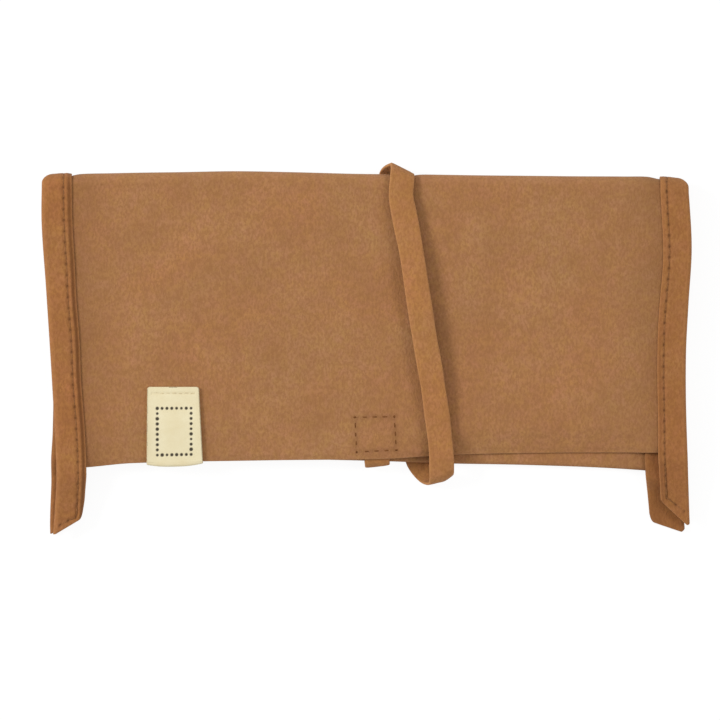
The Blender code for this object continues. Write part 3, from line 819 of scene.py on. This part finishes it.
def lace_route():
    """The lace's stations: its middle, and the way that its outer face looks."""
    middle = LACE / 2
    under_flap = flap_under - GAP - middle
    on_flap = flap_top + GAP + middle
    around = FOLD_RADIUS + SUEDE / 2 + GAP + middle
    out, back = (0, 0, 1), (0, 0, -1)
    stations = []

    def add(lean, y, z, looks):
        place = np.array((PATCH_X + lean * LACE_LEAN, y, z))
        stations.append((place, np.array(looks) / np.linalg.norm(looks)))

    def over_fold(lean, degrees, slack, looks):
        turn = math.radians(degrees)
        radius = around + slack * LACE_CROWN_SLACK
        centre = fold_centre(PATCH_X + lean * LACE_LEAN)
        add(lean, centre + radius * math.sin(turn), FOLD_MID + radius * math.cos(turn), looks)

    def lowest(lean):
        x = PATCH_X + lean * LACE_LEAN
        return min(flap_edge(x), back_edge(x))

    # Sewn behind the flap, out below its edge and round the foot of the back
    sewn = flap_edge(PATCH_X) + PATCH_RAISE
    foot = lowest(0)
    tab = foot - LACE_TAB - middle
    add(0, sewn + PATCH_HEIGHT - PANEL, under_flap, out)
    add(0.005, sewn, under_flap, out)
    add(0.010, flap_edge(PATCH_X) + 0.2 * LACE, under_flap, (0, -0.15, 1))
    add(0.015, tab + 0.4 * LACE, under_flap - 0.9 * LACE, (0, -0.8, 0.6))
    add(0.015, tab, FOLD_MID - 1.1 * LACE, (0.10, -1, 0))
    add(0.015, tab + 0.45 * LACE, middle + 0.65 * LACE, (0, -0.7, -0.7))
    add(0.020, foot + 0.9 * LACE, middle, back)
    add(0.040, foot + 6.4 * LACE, middle, back)

    # Up behind the back, to the fold
    rise = fold_centre(0.0) - foot
    add(0.11, foot + 0.50 * rise, middle, back)
    add(0.19, foot + 0.93 * rise, middle, back)

    # Over the fold with some slack, leaning to the right
    over_fold(0.215, 158, 0.2, (0.0, 0.40, -0.92))
    over_fold(0.262, 125, 0.4, (0.12, 0.80, -0.57))
    over_fold(0.372, 88, 0.5, (0.50, 0.86, 0.12))
    over_fold(0.400, 52, 0.7, (0.38, 0.72, 0.62))
    over_fold(0.395, 20, 0.6, (0.08, 0.25, 1))

    # Down the front, bowed off the flap
    drop = fold_centre(0.0) - flap_edge(0.0)
    front = [(0.045, 0.38, 0.35), (0.12, 0.435, 0.60), (0.25, 0.538, 0.90), (0.40, 0.634, 1.0),
             (0.55, 0.732, 0.95), (0.70, 0.842, 0.75), (0.85, 0.934, 0.45), (0.97, 0.99, 0.15)]
    for share, lean, bow in front:
        add(lean, fold_centre(0.0) - share * drop, on_flap + bow * LACE_BOW, out)

    # A loose loop round the foot, twisted to the left
    low = lowest(1) - LACE_LOOP_DROP
    add(1.0, low + 0.52 * LACE_LOOP_DROP, on_flap - 0.4 * LACE, (0, -0.25, 1))
    add(1.000, low + 0.12 * LACE_LOOP_DROP, FOLD_MID + 2 * LACE, (0.10, -0.85, 0.5))
    add(0.970, low - 0.04 * LACE_LOOP_DROP, FOLD_MID - 0.5 * LACE, (0.22, -0.97, 0))
    add(0.885, low + 0.10 * LACE_LOOP_DROP, middle + 1.6 * LACE, (0.10, -0.8, -0.6))
    add(0.773, low + 0.48 * LACE_LOOP_DROP, middle + 0.4 * LACE, (0, -0.15, -1))
    add(0.681, low + 0.92 * LACE_LOOP_DROP, middle, back)
    add(0.623, low + 1.40 * LACE_LOOP_DROP, middle, back)

    # Up behind again, beside the first pass, to the free end
    beside = [(0.09, 0.54), (0.16, 0.51), (0.30, 0.525), (0.50, 0.585), (0.65, 0.63), (0.76, 0.667)]
    for share, lean in beside:
        add(lean, foot + share * rise, middle, back)
    return stations


def between(points, t):
    """A smooth curve through evenly counted points, at t in whole and part steps."""
    k = min(int(t), len(points) - 2)
    u = t - k
    a, b, c, d = (points[min(max(i, 0), len(points) - 1)] for i in (k - 1, k, k + 1, k + 2))
    return 0.5 * (2 * b + (c - a) * u + (2 * a - 5 * b + 4 * c - d) * u**2 + (3 * b - a - 3 * c + d) * u**3)


print("the lace has", len(lace_route()), "stations")


# %% [markdown]
# Where a lace turns, its outer edge has the longer way to go and curls away from the bend. Both turns at the
# foot get such a curl at the right edge, so that their corners are round.

# %% The lace as a ribbon
LOOP_CURL, LOOP_CURL_REACH = 2.3 * MM, 6.0 * MM
TAB_CURL, TAB_CURL_REACH = 0.4 * MM, 1.8 * MM


def build_lace(steps=12, columns=17):
    stations = lace_route()
    count = (len(stations) - 1) * steps
    middles = np.array([between([s[0] for s in stations], k / steps) for k in range(count + 1)])
    faces = np.array([between([s[1] for s in stations], k / steps) for k in range(count + 1)])
    run = np.concatenate([[0.0], np.cumsum(np.linalg.norm(np.diff(middles, axis=0), axis=1))])
    outer, inner, rub = [], [], []
    loop_at, crown_at = np.argmin(middles[:, 1]), np.argmax(middles[:, 1])
    tab_at = np.argmin(middles[:crown_at, 1])
    curls = [(run[loop_at], LOOP_CURL, LOOP_CURL_REACH), (run[tab_at], TAB_CURL, TAB_CURL_REACH)]
    for k in range(count + 1):
        along = middles[min(k + 1, count)] - middles[max(k - 1, 0)]
        along /= np.linalg.norm(along)
        across = np.cross(along, faces[k])
        across /= np.linalg.norm(across)
        face = np.cross(across, along)
        share = np.linspace(-0.5, 0.5, columns)
        wide = LACE_WIDTH + LACE_UNEVEN * ripple(run[k] + np.zeros(1), np.zeros(1), LACE_UNEVEN_SIZE, 4.4)[0]
        line = middles[k] + np.outer(share * wide, across)
        curl = sum(size * math.exp(-((run[k] - at) / reach) ** 2) for at, size, reach in curls)
        line -= np.outer(curl * np.clip(-2 * share - 0.1, 0, None) ** 2, face)
        lift = np.maximum(0.0, abs(face[2]) * LACE / 2 - line[:, 2])
        line[:, 2] += lift
        thin = LACE / 2 * (1 - 0.30 * np.abs(2 * share) ** 6)
        uneven = 0.05 * MM * ripple(share * wide, np.full_like(share, run[k]), 2.4 * MM, 9.3)
        outer.append(line + np.outer(thin + np.minimum(uneven, 0.0), face))
        inner.append(line - np.outer(LACE / 2 * np.ones_like(share), face))
        rub.append(0.35 * np.abs(2 * share) ** 8)
    lace = leather("suede_lace", np.array(outer), np.array(inner), {"rub": np.array(rub)}, bulge=0.12 * MM)
    print(f"the lace is {run[-1] / MM:.0f} mm long")
    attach(lace, "root")
    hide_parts("wrap_strap")
    return lace


lace = build_lace()

# %% [markdown]
# ## The tag
# The tag is a strip of smooth cream leather folded round the flap's edge and sewn near its top. It is
# pricked with a plain frame of dots. The dots are real pits, so the grid is fine enough to hold them, and a
# mask makes them dark.

# %% The tag and its dots
TAG_X = -HALF + 42.1 * MM
TAG_WIDTH_TOP = 16.4 * MM
TAG_WIDTH_FOOT = 17.8 * MM
TAG_HEIGHT = 23.8 * MM
TAG_CORNER = 0.8 * MM
TAG_LEAN = 0.5 * MM
TAG_CREASE = 0.6
TAG_CURL = 0.22 * MM
TAG_SEAM_DOWN = 2.1 * MM
TAG_SEAM_DEPTH, TAG_SEAM_WIDTH = 0.16 * MM, 0.45 * MM
TAG_ROWS = 150
TAG_COLUMNS = 110
DOT = 0.50 * MM
DOT_RIM = 0.26 * MM
DOT_DEPTH = 0.18 * MM
DOT_PITCH = 1.62 * MM
DOTS_HALF_WIDE, DOTS_LOW, DOTS_HIGH = 5.35 * MM, 2.3 * MM, 17.0 * MM


def tag_dots():
    """Middles of the pricked dots, as places from the tag's middle and up from the flap's edge."""
    wide, low, high = DOTS_HALF_WIDE, DOTS_LOW, DOTS_HIGH
    corners = np.array([(-wide, low), (wide, low), (wide, high), (-wide, high), (-wide, low)])
    return walk(corners, DOT_PITCH)[0][:-1]


def tag_bulge(x):
    """The tag's fold stands off the flap's edge most at its middle."""
    return 0.88 - 0.50 * np.abs(2 * (x - TAG_X) / TAG_WIDTH_FOOT) ** 2.5


def build_tag():
    radius = SUEDE / 2 + GAP + TAG / 2
    top = flap_edge(TAG_X) + TAG_HEIGHT
    dots = tag_dots()
    outer, inner, needle, rub = [], [], [], []

    def add(down, layer, place):
        """One row, at a share down from the tag's end; layer is 1 in front, 0 on the fold and -1 behind."""
        from_end = down * TAG_HEIGHT
        inset = max(TAG_CORNER - from_end, 0.0)
        rounded = TAG_CORNER - math.sqrt(TAG_CORNER**2 - inset**2)
        wide = mix(TAG_WIDTH_TOP, TAG_WIDTH_FOOT, down) - 2 * rounded
        middle = TAG_X + TAG_LEAN * (down - 0.75)
        x = middle + np.linspace(-0.5, 0.5, TAG_COLUMNS) * wide
        up = (1 - down) * TAG_HEIGHT
        pit = np.zeros_like(x)
        seam = np.zeros_like(x)
        if layer == 1:
            for dot_x, dot_y in dots:
                size = DOT * (1.0 + 0.35 * noise.noise(Vector((dot_x, dot_y, 0)) / MM))
                away = np.hypot(x - TAG_X - dot_x, up - dot_y)
                pit = np.maximum(pit, ease(0.5 + (size - away) / DOT_RIM))
            seam = np.exp(-((from_end - TAG_SEAM_DOWN) / TAG_SEAM_WIDTH) ** 2)
            seam = seam * (np.abs(x - middle) < 0.42 * wide)
        stand = swell(x, np.maximum(place(x, 0.0)[0], flap_edge(x)))
        curl = TAG_CURL * (2 * (x - middle) / wide) ** 4 * (layer == 1) * ease(down * 1.5)
        press_in = -DOT_DEPTH * pit - TAG_SEAM_DEPTH * seam
        for grid, height in ((outer, TAG / 2 + curl + press_in), (inner, -TAG / 2 + curl)):
            y, z = place(x, height)
            grid.append(np.stack([x, y, z + stand], -1))
        needle.append(pit)
        rub.append(np.abs(2 * (x - middle) / wide) ** 10 + (layer == 0) * 0.3 + 0.6 * seam)

    for share in np.linspace(0, 1, TAG_ROWS, endpoint=False):
        add(share, 1, lambda x, h, s=share: (mix(top, flap_edge(x), s), FLAP_MID + radius + h))
    for turn in np.linspace(0, math.pi, 21):
        out = abs(math.sin(turn)) ** TAG_CREASE
        up = math.copysign(abs(math.cos(turn)) ** TAG_CREASE, math.cos(turn))
        add(1.0, 0, lambda x, h, a=out, b=up: (flap_edge(x) - (radius + h) * a * tag_bulge(x),
                                               FLAP_MID + (radius + h) * b))
    for share in np.linspace(0, 1, 24)[1:]:
        add(1 - share, -1, lambda x, h, s=share: (mix(flap_edge(x), top, s), FLAP_MID - radius - h))
    masks = {"needle": np.array(needle), "rub": np.array(rub)}
    tag = leather("cream_tag", np.array(outer), np.array(inner), masks)
    print(len(dots), "dots")
    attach(tag, "root")
    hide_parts("label")
    return tag


def tag_stitches(count=7):
    stitches = []
    for k in range(count):
        path = []
        sunk_by = (0.20 + 0.14 * noise.noise(Vector((1.3 * k, 0.4, 2.6)))) * MM
        strays = 0.5 * MM * noise.noise(Vector((0.9 * k, 4.2, 0.3)))
        y = flap_edge(TAG_X) + TAG_HEIGHT - TAG_SEAM_DOWN - strays
        for share, depth in zip(*stitch_depths(sunk=0.5 * MM)):
            x = TAG_X + 0.82 * TAG_WIDTH_TOP * ((k + share) / count - 0.5)
            surface = FLAP_MID + SUEDE / 2 + GAP + TAG + float(swell(np.array(x), np.array(y))) - sunk_by
            path.append((x, y, surface + depth))
        stitches.append(path)
    return stitches


cream_tag = build_tag()
tag_seam = sew("tag_seam", tag_stitches())

# %% [markdown]
# ## The pockets inside
# The card pockets and the small patch behind the lace's end lie between the flap and the note pocket's wall.
# Only their feet can be seen, from low down in front, but they are cut from the same suede and get the same
# soft edges. At the foot, where the flap's edge comes down on them, they are pared thin.

# %% Panels inside
CARD_POCKET_RAISE = 8.0 * MM
CARD_POCKET_DROP = 9.0 * MM
CARD_POCKET_MARGIN = 6.0 * MM
FOOT_PARED = 0.55 * MM
FOOT_PARED_OVER = 6.0 * MM
PANEL_ROWS = 40
PANEL_COLUMNS = 60
PANEL_UNEVEN, PANEL_UNEVEN_SIZE = 0.10 * MM, 9 * MM


def build_panel(name, node, x_low, x_high, foot, top, low, seed):
    outer, inner = [], []
    for share in np.linspace(0, 1, PANEL_ROWS):
        x = np.linspace(x_low, x_high, PANEL_COLUMNS)
        y = mix(foot(x), top(x), share)
        uneven = PANEL_UNEVEN * ripple(x, y, PANEL_UNEVEN_SIZE, seed)
        pared = FOOT_PARED * ease(1 - (y - foot(x)) / FOOT_PARED_OVER)
        outer.append(np.stack([x, y, low + PANEL + np.minimum(uneven, 0) - pared], -1))
        inner.append(np.stack([x, y, np.full_like(x, low)], -1))
    panel = leather(name, np.array(outer), np.array(inner), {"rub": np.zeros((PANEL_ROWS, PANEL_COLUMNS))})
    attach(panel, "root")
    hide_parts(node)
    return panel


def card_foot(x):
    return back_edge(x) + CARD_POCKET_RAISE


def card_top(x):
    return note_mouth(x) - CARD_POCKET_DROP


def patch_foot(x):
    return flap_edge(x) + PATCH_RAISE


def patch_top(x):
    return flap_edge(x) + PATCH_RAISE + PATCH_HEIGHT


patch_low, patch_high = PATCH_X - PATCH_WIDTH / 2, PATCH_X + PATCH_WIDTH / 2
inside_x = HALF - EAR_WIDTH - CARD_POCKET_MARGIN
panels = [
    build_panel("card_pocket_suede_left", "card_pocket_left", -inside_x, patch_low - CARD_POCKET_MARGIN,
                card_foot, card_top, panel_under, 1.7),
    build_panel("card_pocket_suede_right", "card_pocket_right", patch_high + CARD_POCKET_MARGIN, inside_x,
                card_foot, card_top, panel_under, 6.1),
    build_panel("strap_patch_suede", "strap_patch", patch_low, patch_high,
                patch_foot, patch_top, panel_under + GAP / 3, 8.8),
]

# %% [markdown]
# ## Writing shaders as expressions
# A node tree is hard to read as a list of links. A wire is a small class that holds one output socket and
# overloads the operators, so `0.55 * fibre - 0.5 * speck` adds its Math nodes by itself. Colours must not go
# through Math nodes, which would turn them grey, so they have a method of their own that adds a Mix node.

# %% Wires and finishes
class Wire:
    """One number that varies over the surface, with arithmetic that adds Math nodes."""

    def __init__(self, finish, socket):
        self.finish, self.socket = finish, socket

    def _math(self, operation, a, b):
        return self.finish.node("Math", {"operation": operation}, {0: a, 1: b})

    def __add__(self, other):
        return self._math("ADD", self, other)

    def __sub__(self, other):
        return self._math("SUBTRACT", self, other)

    def __rmul__(self, other):
        return self._math("MULTIPLY", other, self)


class Finish:
    """A material, and the way to add nodes to it."""

    def __init__(self, name, **constants):
        self.material = bpy.data.materials.new(name)
        self.material.use_nodes = True
        self.tree = self.material.node_tree
        self.shader = self.tree.nodes["Principled BSDF"]
        for socket, value in constants.items():
            self.shader.inputs[socket.replace("_", " ")].default_value = value

    def node(self, kind, settings=None, values=None, output=0):
        """Adds a node: its type, its settings, and the values or wires of its sockets."""
        made = self.tree.nodes.new("ShaderNode" + kind)
        for setting, value in (settings or {}).items():
            setattr(made, setting, value)
        for socket, value in (values or {}).items():
            self.join(value, made.inputs[socket])
        return Wire(self, made.outputs[output])

    def join(self, value, socket):
        if isinstance(value, Wire):
            self.tree.links.new(value.socket, socket)
        else:
            socket.default_value = value

    def blend(self, share, a, b):
        """A colour between a and b."""
        return self.node("Mix", {"data_type": "RGBA"}, {0: share, 6: a, 7: b}, output=2)

    def mask(self, name):
        return self.node("Attribute", {"attribute_name": name}, output=2)

    def grain(self, stretch, scale, detail=2.0, roughness=0.5):
        """Noise from 0 to 1, with the place in metres first stretched along each axis."""
        place = self.node("TexCoord", output=3)
        if stretch != (1, 1, 1):
            place = self.node("VectorMath", {"operation": "MULTIPLY"}, {0: place, 1: stretch})
        return self.node("TexNoise", None, {"Vector": place, "Scale": scale, "Detail": detail,
                                            "Roughness": roughness})

    def spread(self, wire, low, high):
        """A wire's values from low to high, spread over 0 to 1."""
        return self.node("MapRange", None, {"Value": wire, "From Min": low, "From Max": high})

    def close(self, colour, bump, distance):
        self.join(colour, self.shader.inputs["Base Color"])
        height = self.node("Bump", None, {"Strength": 0.7, "Distance": distance, "Height": bump})
        self.join(height, self.shader.inputs["Normal"])
        return self.material


# %% [markdown]
# ## Suede
# Suede is the napped flesh side of leather. It has no shine, its colour is clouded, because the nap lies one
# way here and another way there, and close up it is a felt of short fibres. So the finish has three scales:
# clouds of a centimetre or two in hue and depth, a mottle of a millimetre or two, and fine fibres that also
# drive the bump. Cut edges are paler and folds are rubbed a little lighter. Needle holes and seam troughs get
# painted shade, and so does the leather where other parts shade it.

# %% The suede finishes
def rgb(*values):
    return (*values, 1.0)


# How deep the painted shade goes, and below, the colour that it darkens towards.
PAINTED_SHADE_DEPTH = 0.70
MARK_FLATTENS = (1, 1, 0.2)


def suede(name, base, seed_shift, marks=()):
    """A suede finish. Each mark is a place, a radius and a depth, and darkens the leather there."""
    finish = Finish(name, Roughness=0.93, Sheen_Weight=0.06, Sheen_Roughness=0.6, Specular_IOR_Level=0.12)
    red = rgb(base[0] * 1.05, base[1] * 0.92, base[2] * 0.86)
    olive = rgb(base[0] * 0.95, base[1] * 1.07, base[2] * 1.08)
    deep = rgb(base[0] * 0.66, base[1] * 0.60, base[2] * 0.54)
    pale = rgb(base[0] * 1.20, base[1] * 1.25, base[2] * 1.32)
    yellow = rgb(base[0] * 0.99, base[1] * 1.045, base[2] * 0.80)
    pink = rgb(base[0] * 1.01, base[1] * 0.955, base[2] * 1.22)
    shade_colour = rgb(base[0] * 0.42, base[1] * 0.36, base[2] * 0.30)
    hue = finish.spread(finish.grain((1, 1.3, 1), 46 + seed_shift, 3), 0.32, 0.68)
    tint = finish.spread(finish.grain((1.1, 1, 1), 230 + seed_shift, 5, 0.72), 0.40, 0.60)
    cloud = finish.spread(finish.grain((1, 0.8, 1), 88 + seed_shift, 4, 0.62), 0.30, 0.72)
    mottle = finish.spread(finish.grain((1, 0.9, 1), 420, 3, 0.6), 0.38, 0.64)
    speck = finish.spread(finish.grain((1, 0.6, 1), 1300, 2, 0.6), 0.42, 0.60)
    fibre = finish.grain((1, 0.45, 1), 4200, 3, 0.65)
    colour = finish.blend(hue, olive, red)
    colour = finish.blend(0.55, colour, finish.blend(tint, yellow, pink))
    colour = finish.blend(0.52 * cloud, colour, deep)
    colour = finish.blend(0.28 * mottle, colour, deep)
    colour = finish.blend(0.55 * speck, colour, deep)
    colour = finish.blend(0.30 * finish.spread(fibre, 0.5, 0.9), colour, pale)
    colour = finish.blend(0.25 * finish.spread(fibre, 0.5, 0.15), colour, deep)
    colour = finish.blend(0.35 * finish.mask("rub"), colour, pale)
    colour = finish.blend(0.45 * finish.mask("cut"), colour, pale)
    # Painted shade: darker where the mask says that the leather lies in shade.
    colour = finish.blend(PAINTED_SHADE_DEPTH * finish.mask("painted_shade"), colour, shade_colour)
    for place, radius, depth in marks:
        here = finish.node("VectorMath", {"operation": "MULTIPLY"},
                           {0: finish.node("TexCoord", output=3), 1: MARK_FLATTENS})
        flat_place = tuple(a * b for a, b in zip(place, MARK_FLATTENS))
        away = finish.node("VectorMath", {"operation": "DISTANCE"}, {0: here, 1: flat_place}, output=1)
        colour = finish.blend(depth * finish.spread(away, radius, 0.3 * radius), colour, deep)
    # Painted shade: needle holes and seam troughs are darkened.
    colour = finish.blend(0.85 * finish.mask("needle"), colour, rgb(0.075, 0.028, 0.010))
    return finish.close(colour, 0.55 * fibre + 0.35 * mottle - 0.5 * speck, 0.13 * MM)


flap_marks = [((-83.8 * MM, 52.2 * MM, flap_top), 0.55 * MM, 0.9),
              ((-31.2 * MM, -10.9 * MM, flap_top), 0.9 * MM, 0.4),
              ((64.4 * MM, 27.7 * MM, flap_top), 2.2 * MM, 0.25)]
suede_sheet = suede("suede", (0.462, 0.224, 0.093), 0, flap_marks)
suede_strip = suede("suede_strip", (0.430, 0.184, 0.063), 7)
suede_lace = suede("suede_lace_finish", (0.492, 0.226, 0.082), 13)
suede_inside = suede("suede_inside", (0.40, 0.20, 0.10), 19)

# %% [markdown]
# ## Tag and thread
# The tag is undyed leather with its smooth side out, so it gets a finer grain, a little gloss and a faint
# yellowing. The thread is dark and twisted, and a wave along it stands for the twist.

# %% The other finishes
def cream_leather():
    finish = Finish("cream_leather", Roughness=0.55, Specular_IOR_Level=0.3)
    cloud = finish.spread(finish.grain((1, 1, 1), 150, 4, 0.6), 0.3, 0.7)
    pores = finish.grain((1, 1, 1), 2600, 3, 0.6)
    colour = finish.blend(cloud, rgb(0.87, 0.785, 0.535), rgb(0.81, 0.705, 0.445))
    colour = finish.blend(0.25 * finish.spread(pores, 0.5, 0.8), colour, rgb(0.66, 0.55, 0.33))
    colour = finish.blend(0.30 * finish.mask("rub"), colour, rgb(0.60, 0.46, 0.25))
    colour = finish.blend(0.25 * finish.mask("cut"), colour, rgb(0.55, 0.42, 0.24))
    colour = finish.blend(0.97 * finish.mask("needle"), colour, rgb(0.018, 0.010, 0.005))
    return finish.close(colour, pores, 0.05 * MM)


def thread_finish(name, dark, light):
    finish = Finish(name, Roughness=0.7, Specular_IOR_Level=0.2)
    twist = finish.grain((1, 1, 1), 2400, 2)
    return finish.close(finish.blend(finish.spread(twist, 0.35, 0.65), dark, light), twist, 0.05 * MM)


cream = cream_leather()
brown_thread = thread_finish("brown_thread", rgb(0.20, 0.086, 0.030), rgb(0.32, 0.140, 0.052))
dark_thread = thread_finish("dark_thread", rgb(0.105, 0.034, 0.006), rgb(0.215, 0.078, 0.017))
cream_thread = thread_finish("cream_thread", rgb(0.62, 0.50, 0.30), rgb(0.78, 0.68, 0.45))
finishes = [(outer_suede, suede_sheet), (lace, suede_lace), (cream_tag, cream), (tag_seam, cream_thread),
            (box_seam, dark_thread), (box_knots, dark_thread)]
finishes += [(strip, suede_strip) for strip in strips]
finishes += [(seam, brown_thread) for seam in seams]
finishes += [(panel, suede_inside) for panel in panels]
for piece, finish in finishes:
    piece.data.materials.append(finish)
    print(piece.name, "is finished in", finish.name)

# %% [markdown]
# ## The sheet as a sheet
# A folded sheet should have the area it was cut to.

# %% The flat cut
flat_width = WIDTH - 2 * (STRIP + GAP)
flap_and_back = (FLAP_LENGTH - FOLD_RADIUS) + math.pi * FOLD_RADIUS + (BACK_LENGTH - FOLD_RADIUS)
foot_and_wall = math.pi * FOOT_RADIUS + (note_mouth(0.0) - back_edge(0.0) - FOOT_RADIUS)
flat_length = flap_and_back + foot_and_wall
print(f"the sheet was cut to {flat_width / MM:.0f} by {flat_length / MM:.0f} mm")

# %% [markdown]
# ## Floor, light and camera
# The photograph looks straight down on the wallet, which lies on white. A long lens keeps the edges as
# parallel as the photograph has them. The light is soft: the stronger lamp stands low on the left, so the
# bowed lace throws a wide shadow to its right, and a weaker one fills in from the right. The floor and the
# world are white where the camera sees them, directly or in a gloss. The floor keeps part of its own shading,
# so the wallet's shadow stays, and the world is dimmer as a light than it looks.

# %% The floor
FLOOR_SIZE = 3.0
FLOOR_GLOW = 1.06
FLOOR_GLOW_SHARE = 0.86


def make_floor():
    mesh = bpy.data.meshes.new("floor")
    reach = FLOOR_SIZE / 2
    corners = [(-reach, -reach, 0), (reach, -reach, 0), (reach, reach, 0), (-reach, reach, 0)]
    mesh.from_pydata(corners, [], [(0, 1, 2, 3)])
    floor = bpy.data.objects.new("floor", mesh)
    bpy.context.scene.collection.objects.link(floor)
    finish = Finish("floor_white", Base_Color=rgb(0.9, 0.9, 0.9), Roughness=0.9)
    tree = finish.tree
    path = tree.nodes.new("ShaderNodeLightPath")
    glow = tree.nodes.new("ShaderNodeEmission")
    glow.inputs["Color"].default_value = rgb(1, 1, 1)
    glow.inputs["Strength"].default_value = FLOOR_GLOW
    seen = Wire(finish, path.outputs["Is Camera Ray"])
    for kind in ("Is Glossy Ray", "Is Transmission Ray"):
        seen = seen + Wire(finish, path.outputs[kind])
    both = tree.nodes.new("ShaderNodeMixShader")
    finish.join(FLOOR_GLOW_SHARE * seen, both.inputs["Fac"])
    tree.links.new(finish.shader.outputs["BSDF"], both.inputs[1])
    tree.links.new(glow.outputs["Emission"], both.inputs[2])
    tree.links.new(both.outputs["Shader"], tree.nodes["Material Output"].inputs["Surface"])
    floor.data.materials.append(finish.material)
    floor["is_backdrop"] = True


make_floor()

# %% The world and the lamps
WORLD_LEVEL = 0.54
LAMP_SIZE = 0.60
LEFT_LAMP_PLACE, LEFT_LAMP_POWER = (-1.30, 0.45, 1.05), 15.6
RIGHT_LAMP_PLACE, RIGHT_LAMP_POWER = (1.20, 0.10, 1.30), 5.5


def make_world():
    world = bpy.data.worlds.new("white_room")
    world.use_nodes = True
    tree = world.node_tree
    path = tree.nodes.new("ShaderNodeLightPath")
    seen = path.outputs["Is Camera Ray"]
    for kind in ("Is Glossy Ray", "Is Transmission Ray"):
        either = tree.nodes.new("ShaderNodeMath")
        either.operation = "ADD"
        tree.links.new(seen, either.inputs[0])
        tree.links.new(path.outputs[kind], either.inputs[1])
        seen = either.outputs["Value"]
    level = tree.nodes.new("ShaderNodeMapRange")
    level.inputs["To Min"].default_value = WORLD_LEVEL
    level.inputs["To Max"].default_value = 1.0
    tree.links.new(seen, level.inputs["Value"])
    tree.links.new(level.outputs["Result"], tree.nodes["Background"].inputs["Strength"])
    tree.nodes["Background"].inputs["Color"].default_value = rgb(1, 1, 1)
    bpy.context.scene.world = world


def lamp(name, place, size, power):
    light = bpy.data.lights.new(name, "AREA")
    light.shape = "DISK"
    light.size = size
    light.energy = power
    thing = bpy.data.objects.new(name, light)
    bpy.context.scene.collection.objects.link(thing)
    thing.location = place
    thing.rotation_euler = (-Vector(place)).to_track_quat("-Z", "Y").to_euler()


make_world()
lamp("lamp_left", LEFT_LAMP_PLACE, LAMP_SIZE, LEFT_LAMP_POWER)
lamp("lamp_right", RIGHT_LAMP_PLACE, LAMP_SIZE, RIGHT_LAMP_POWER)

# %% The camera
PHOTO_PIXELS = 720
PIXEL = 0.3164 * MM
PHOTO_ORIGIN = (366.5, 349.5)
LENS = 500.0
SENSOR = 36.0


def make_camera():
    camera = bpy.data.cameras.new("camera")
    camera.lens = LENS
    camera.sensor_width = SENSOR
    camera.clip_end = 20.0
    thing = bpy.data.objects.new("camera", camera)
    bpy.context.scene.collection.objects.link(thing)
    middle = PHOTO_PIXELS / 2
    distance = PHOTO_PIXELS * PIXEL * LENS / SENSOR
    x = (middle - PHOTO_ORIGIN[0]) * PIXEL
    y = (PHOTO_ORIGIN[1] - middle) * PIXEL
    thing.location = (x, y, flap_top + distance)
    bpy.context.scene.camera = thing
    print(f"the camera hangs {thing.location.z:.2f} m over the floor")


make_camera()
bpy.context.scene.view_settings.view_transform = "Standard"

# %% [markdown]
# ## Does it still fit its solids?
# Both boxes, of the solids and of the dressed wallet, are measured, and the difference is
# printed.

# %% The two boxes
dressed_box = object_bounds()
for corner, solid, dressed in zip(("lowest", "highest"), cad_box, dressed_box):
    print(corner, "corner differs by", [round((b - a) / MM, 2) for a, b in zip(solid, dressed)], "mm")
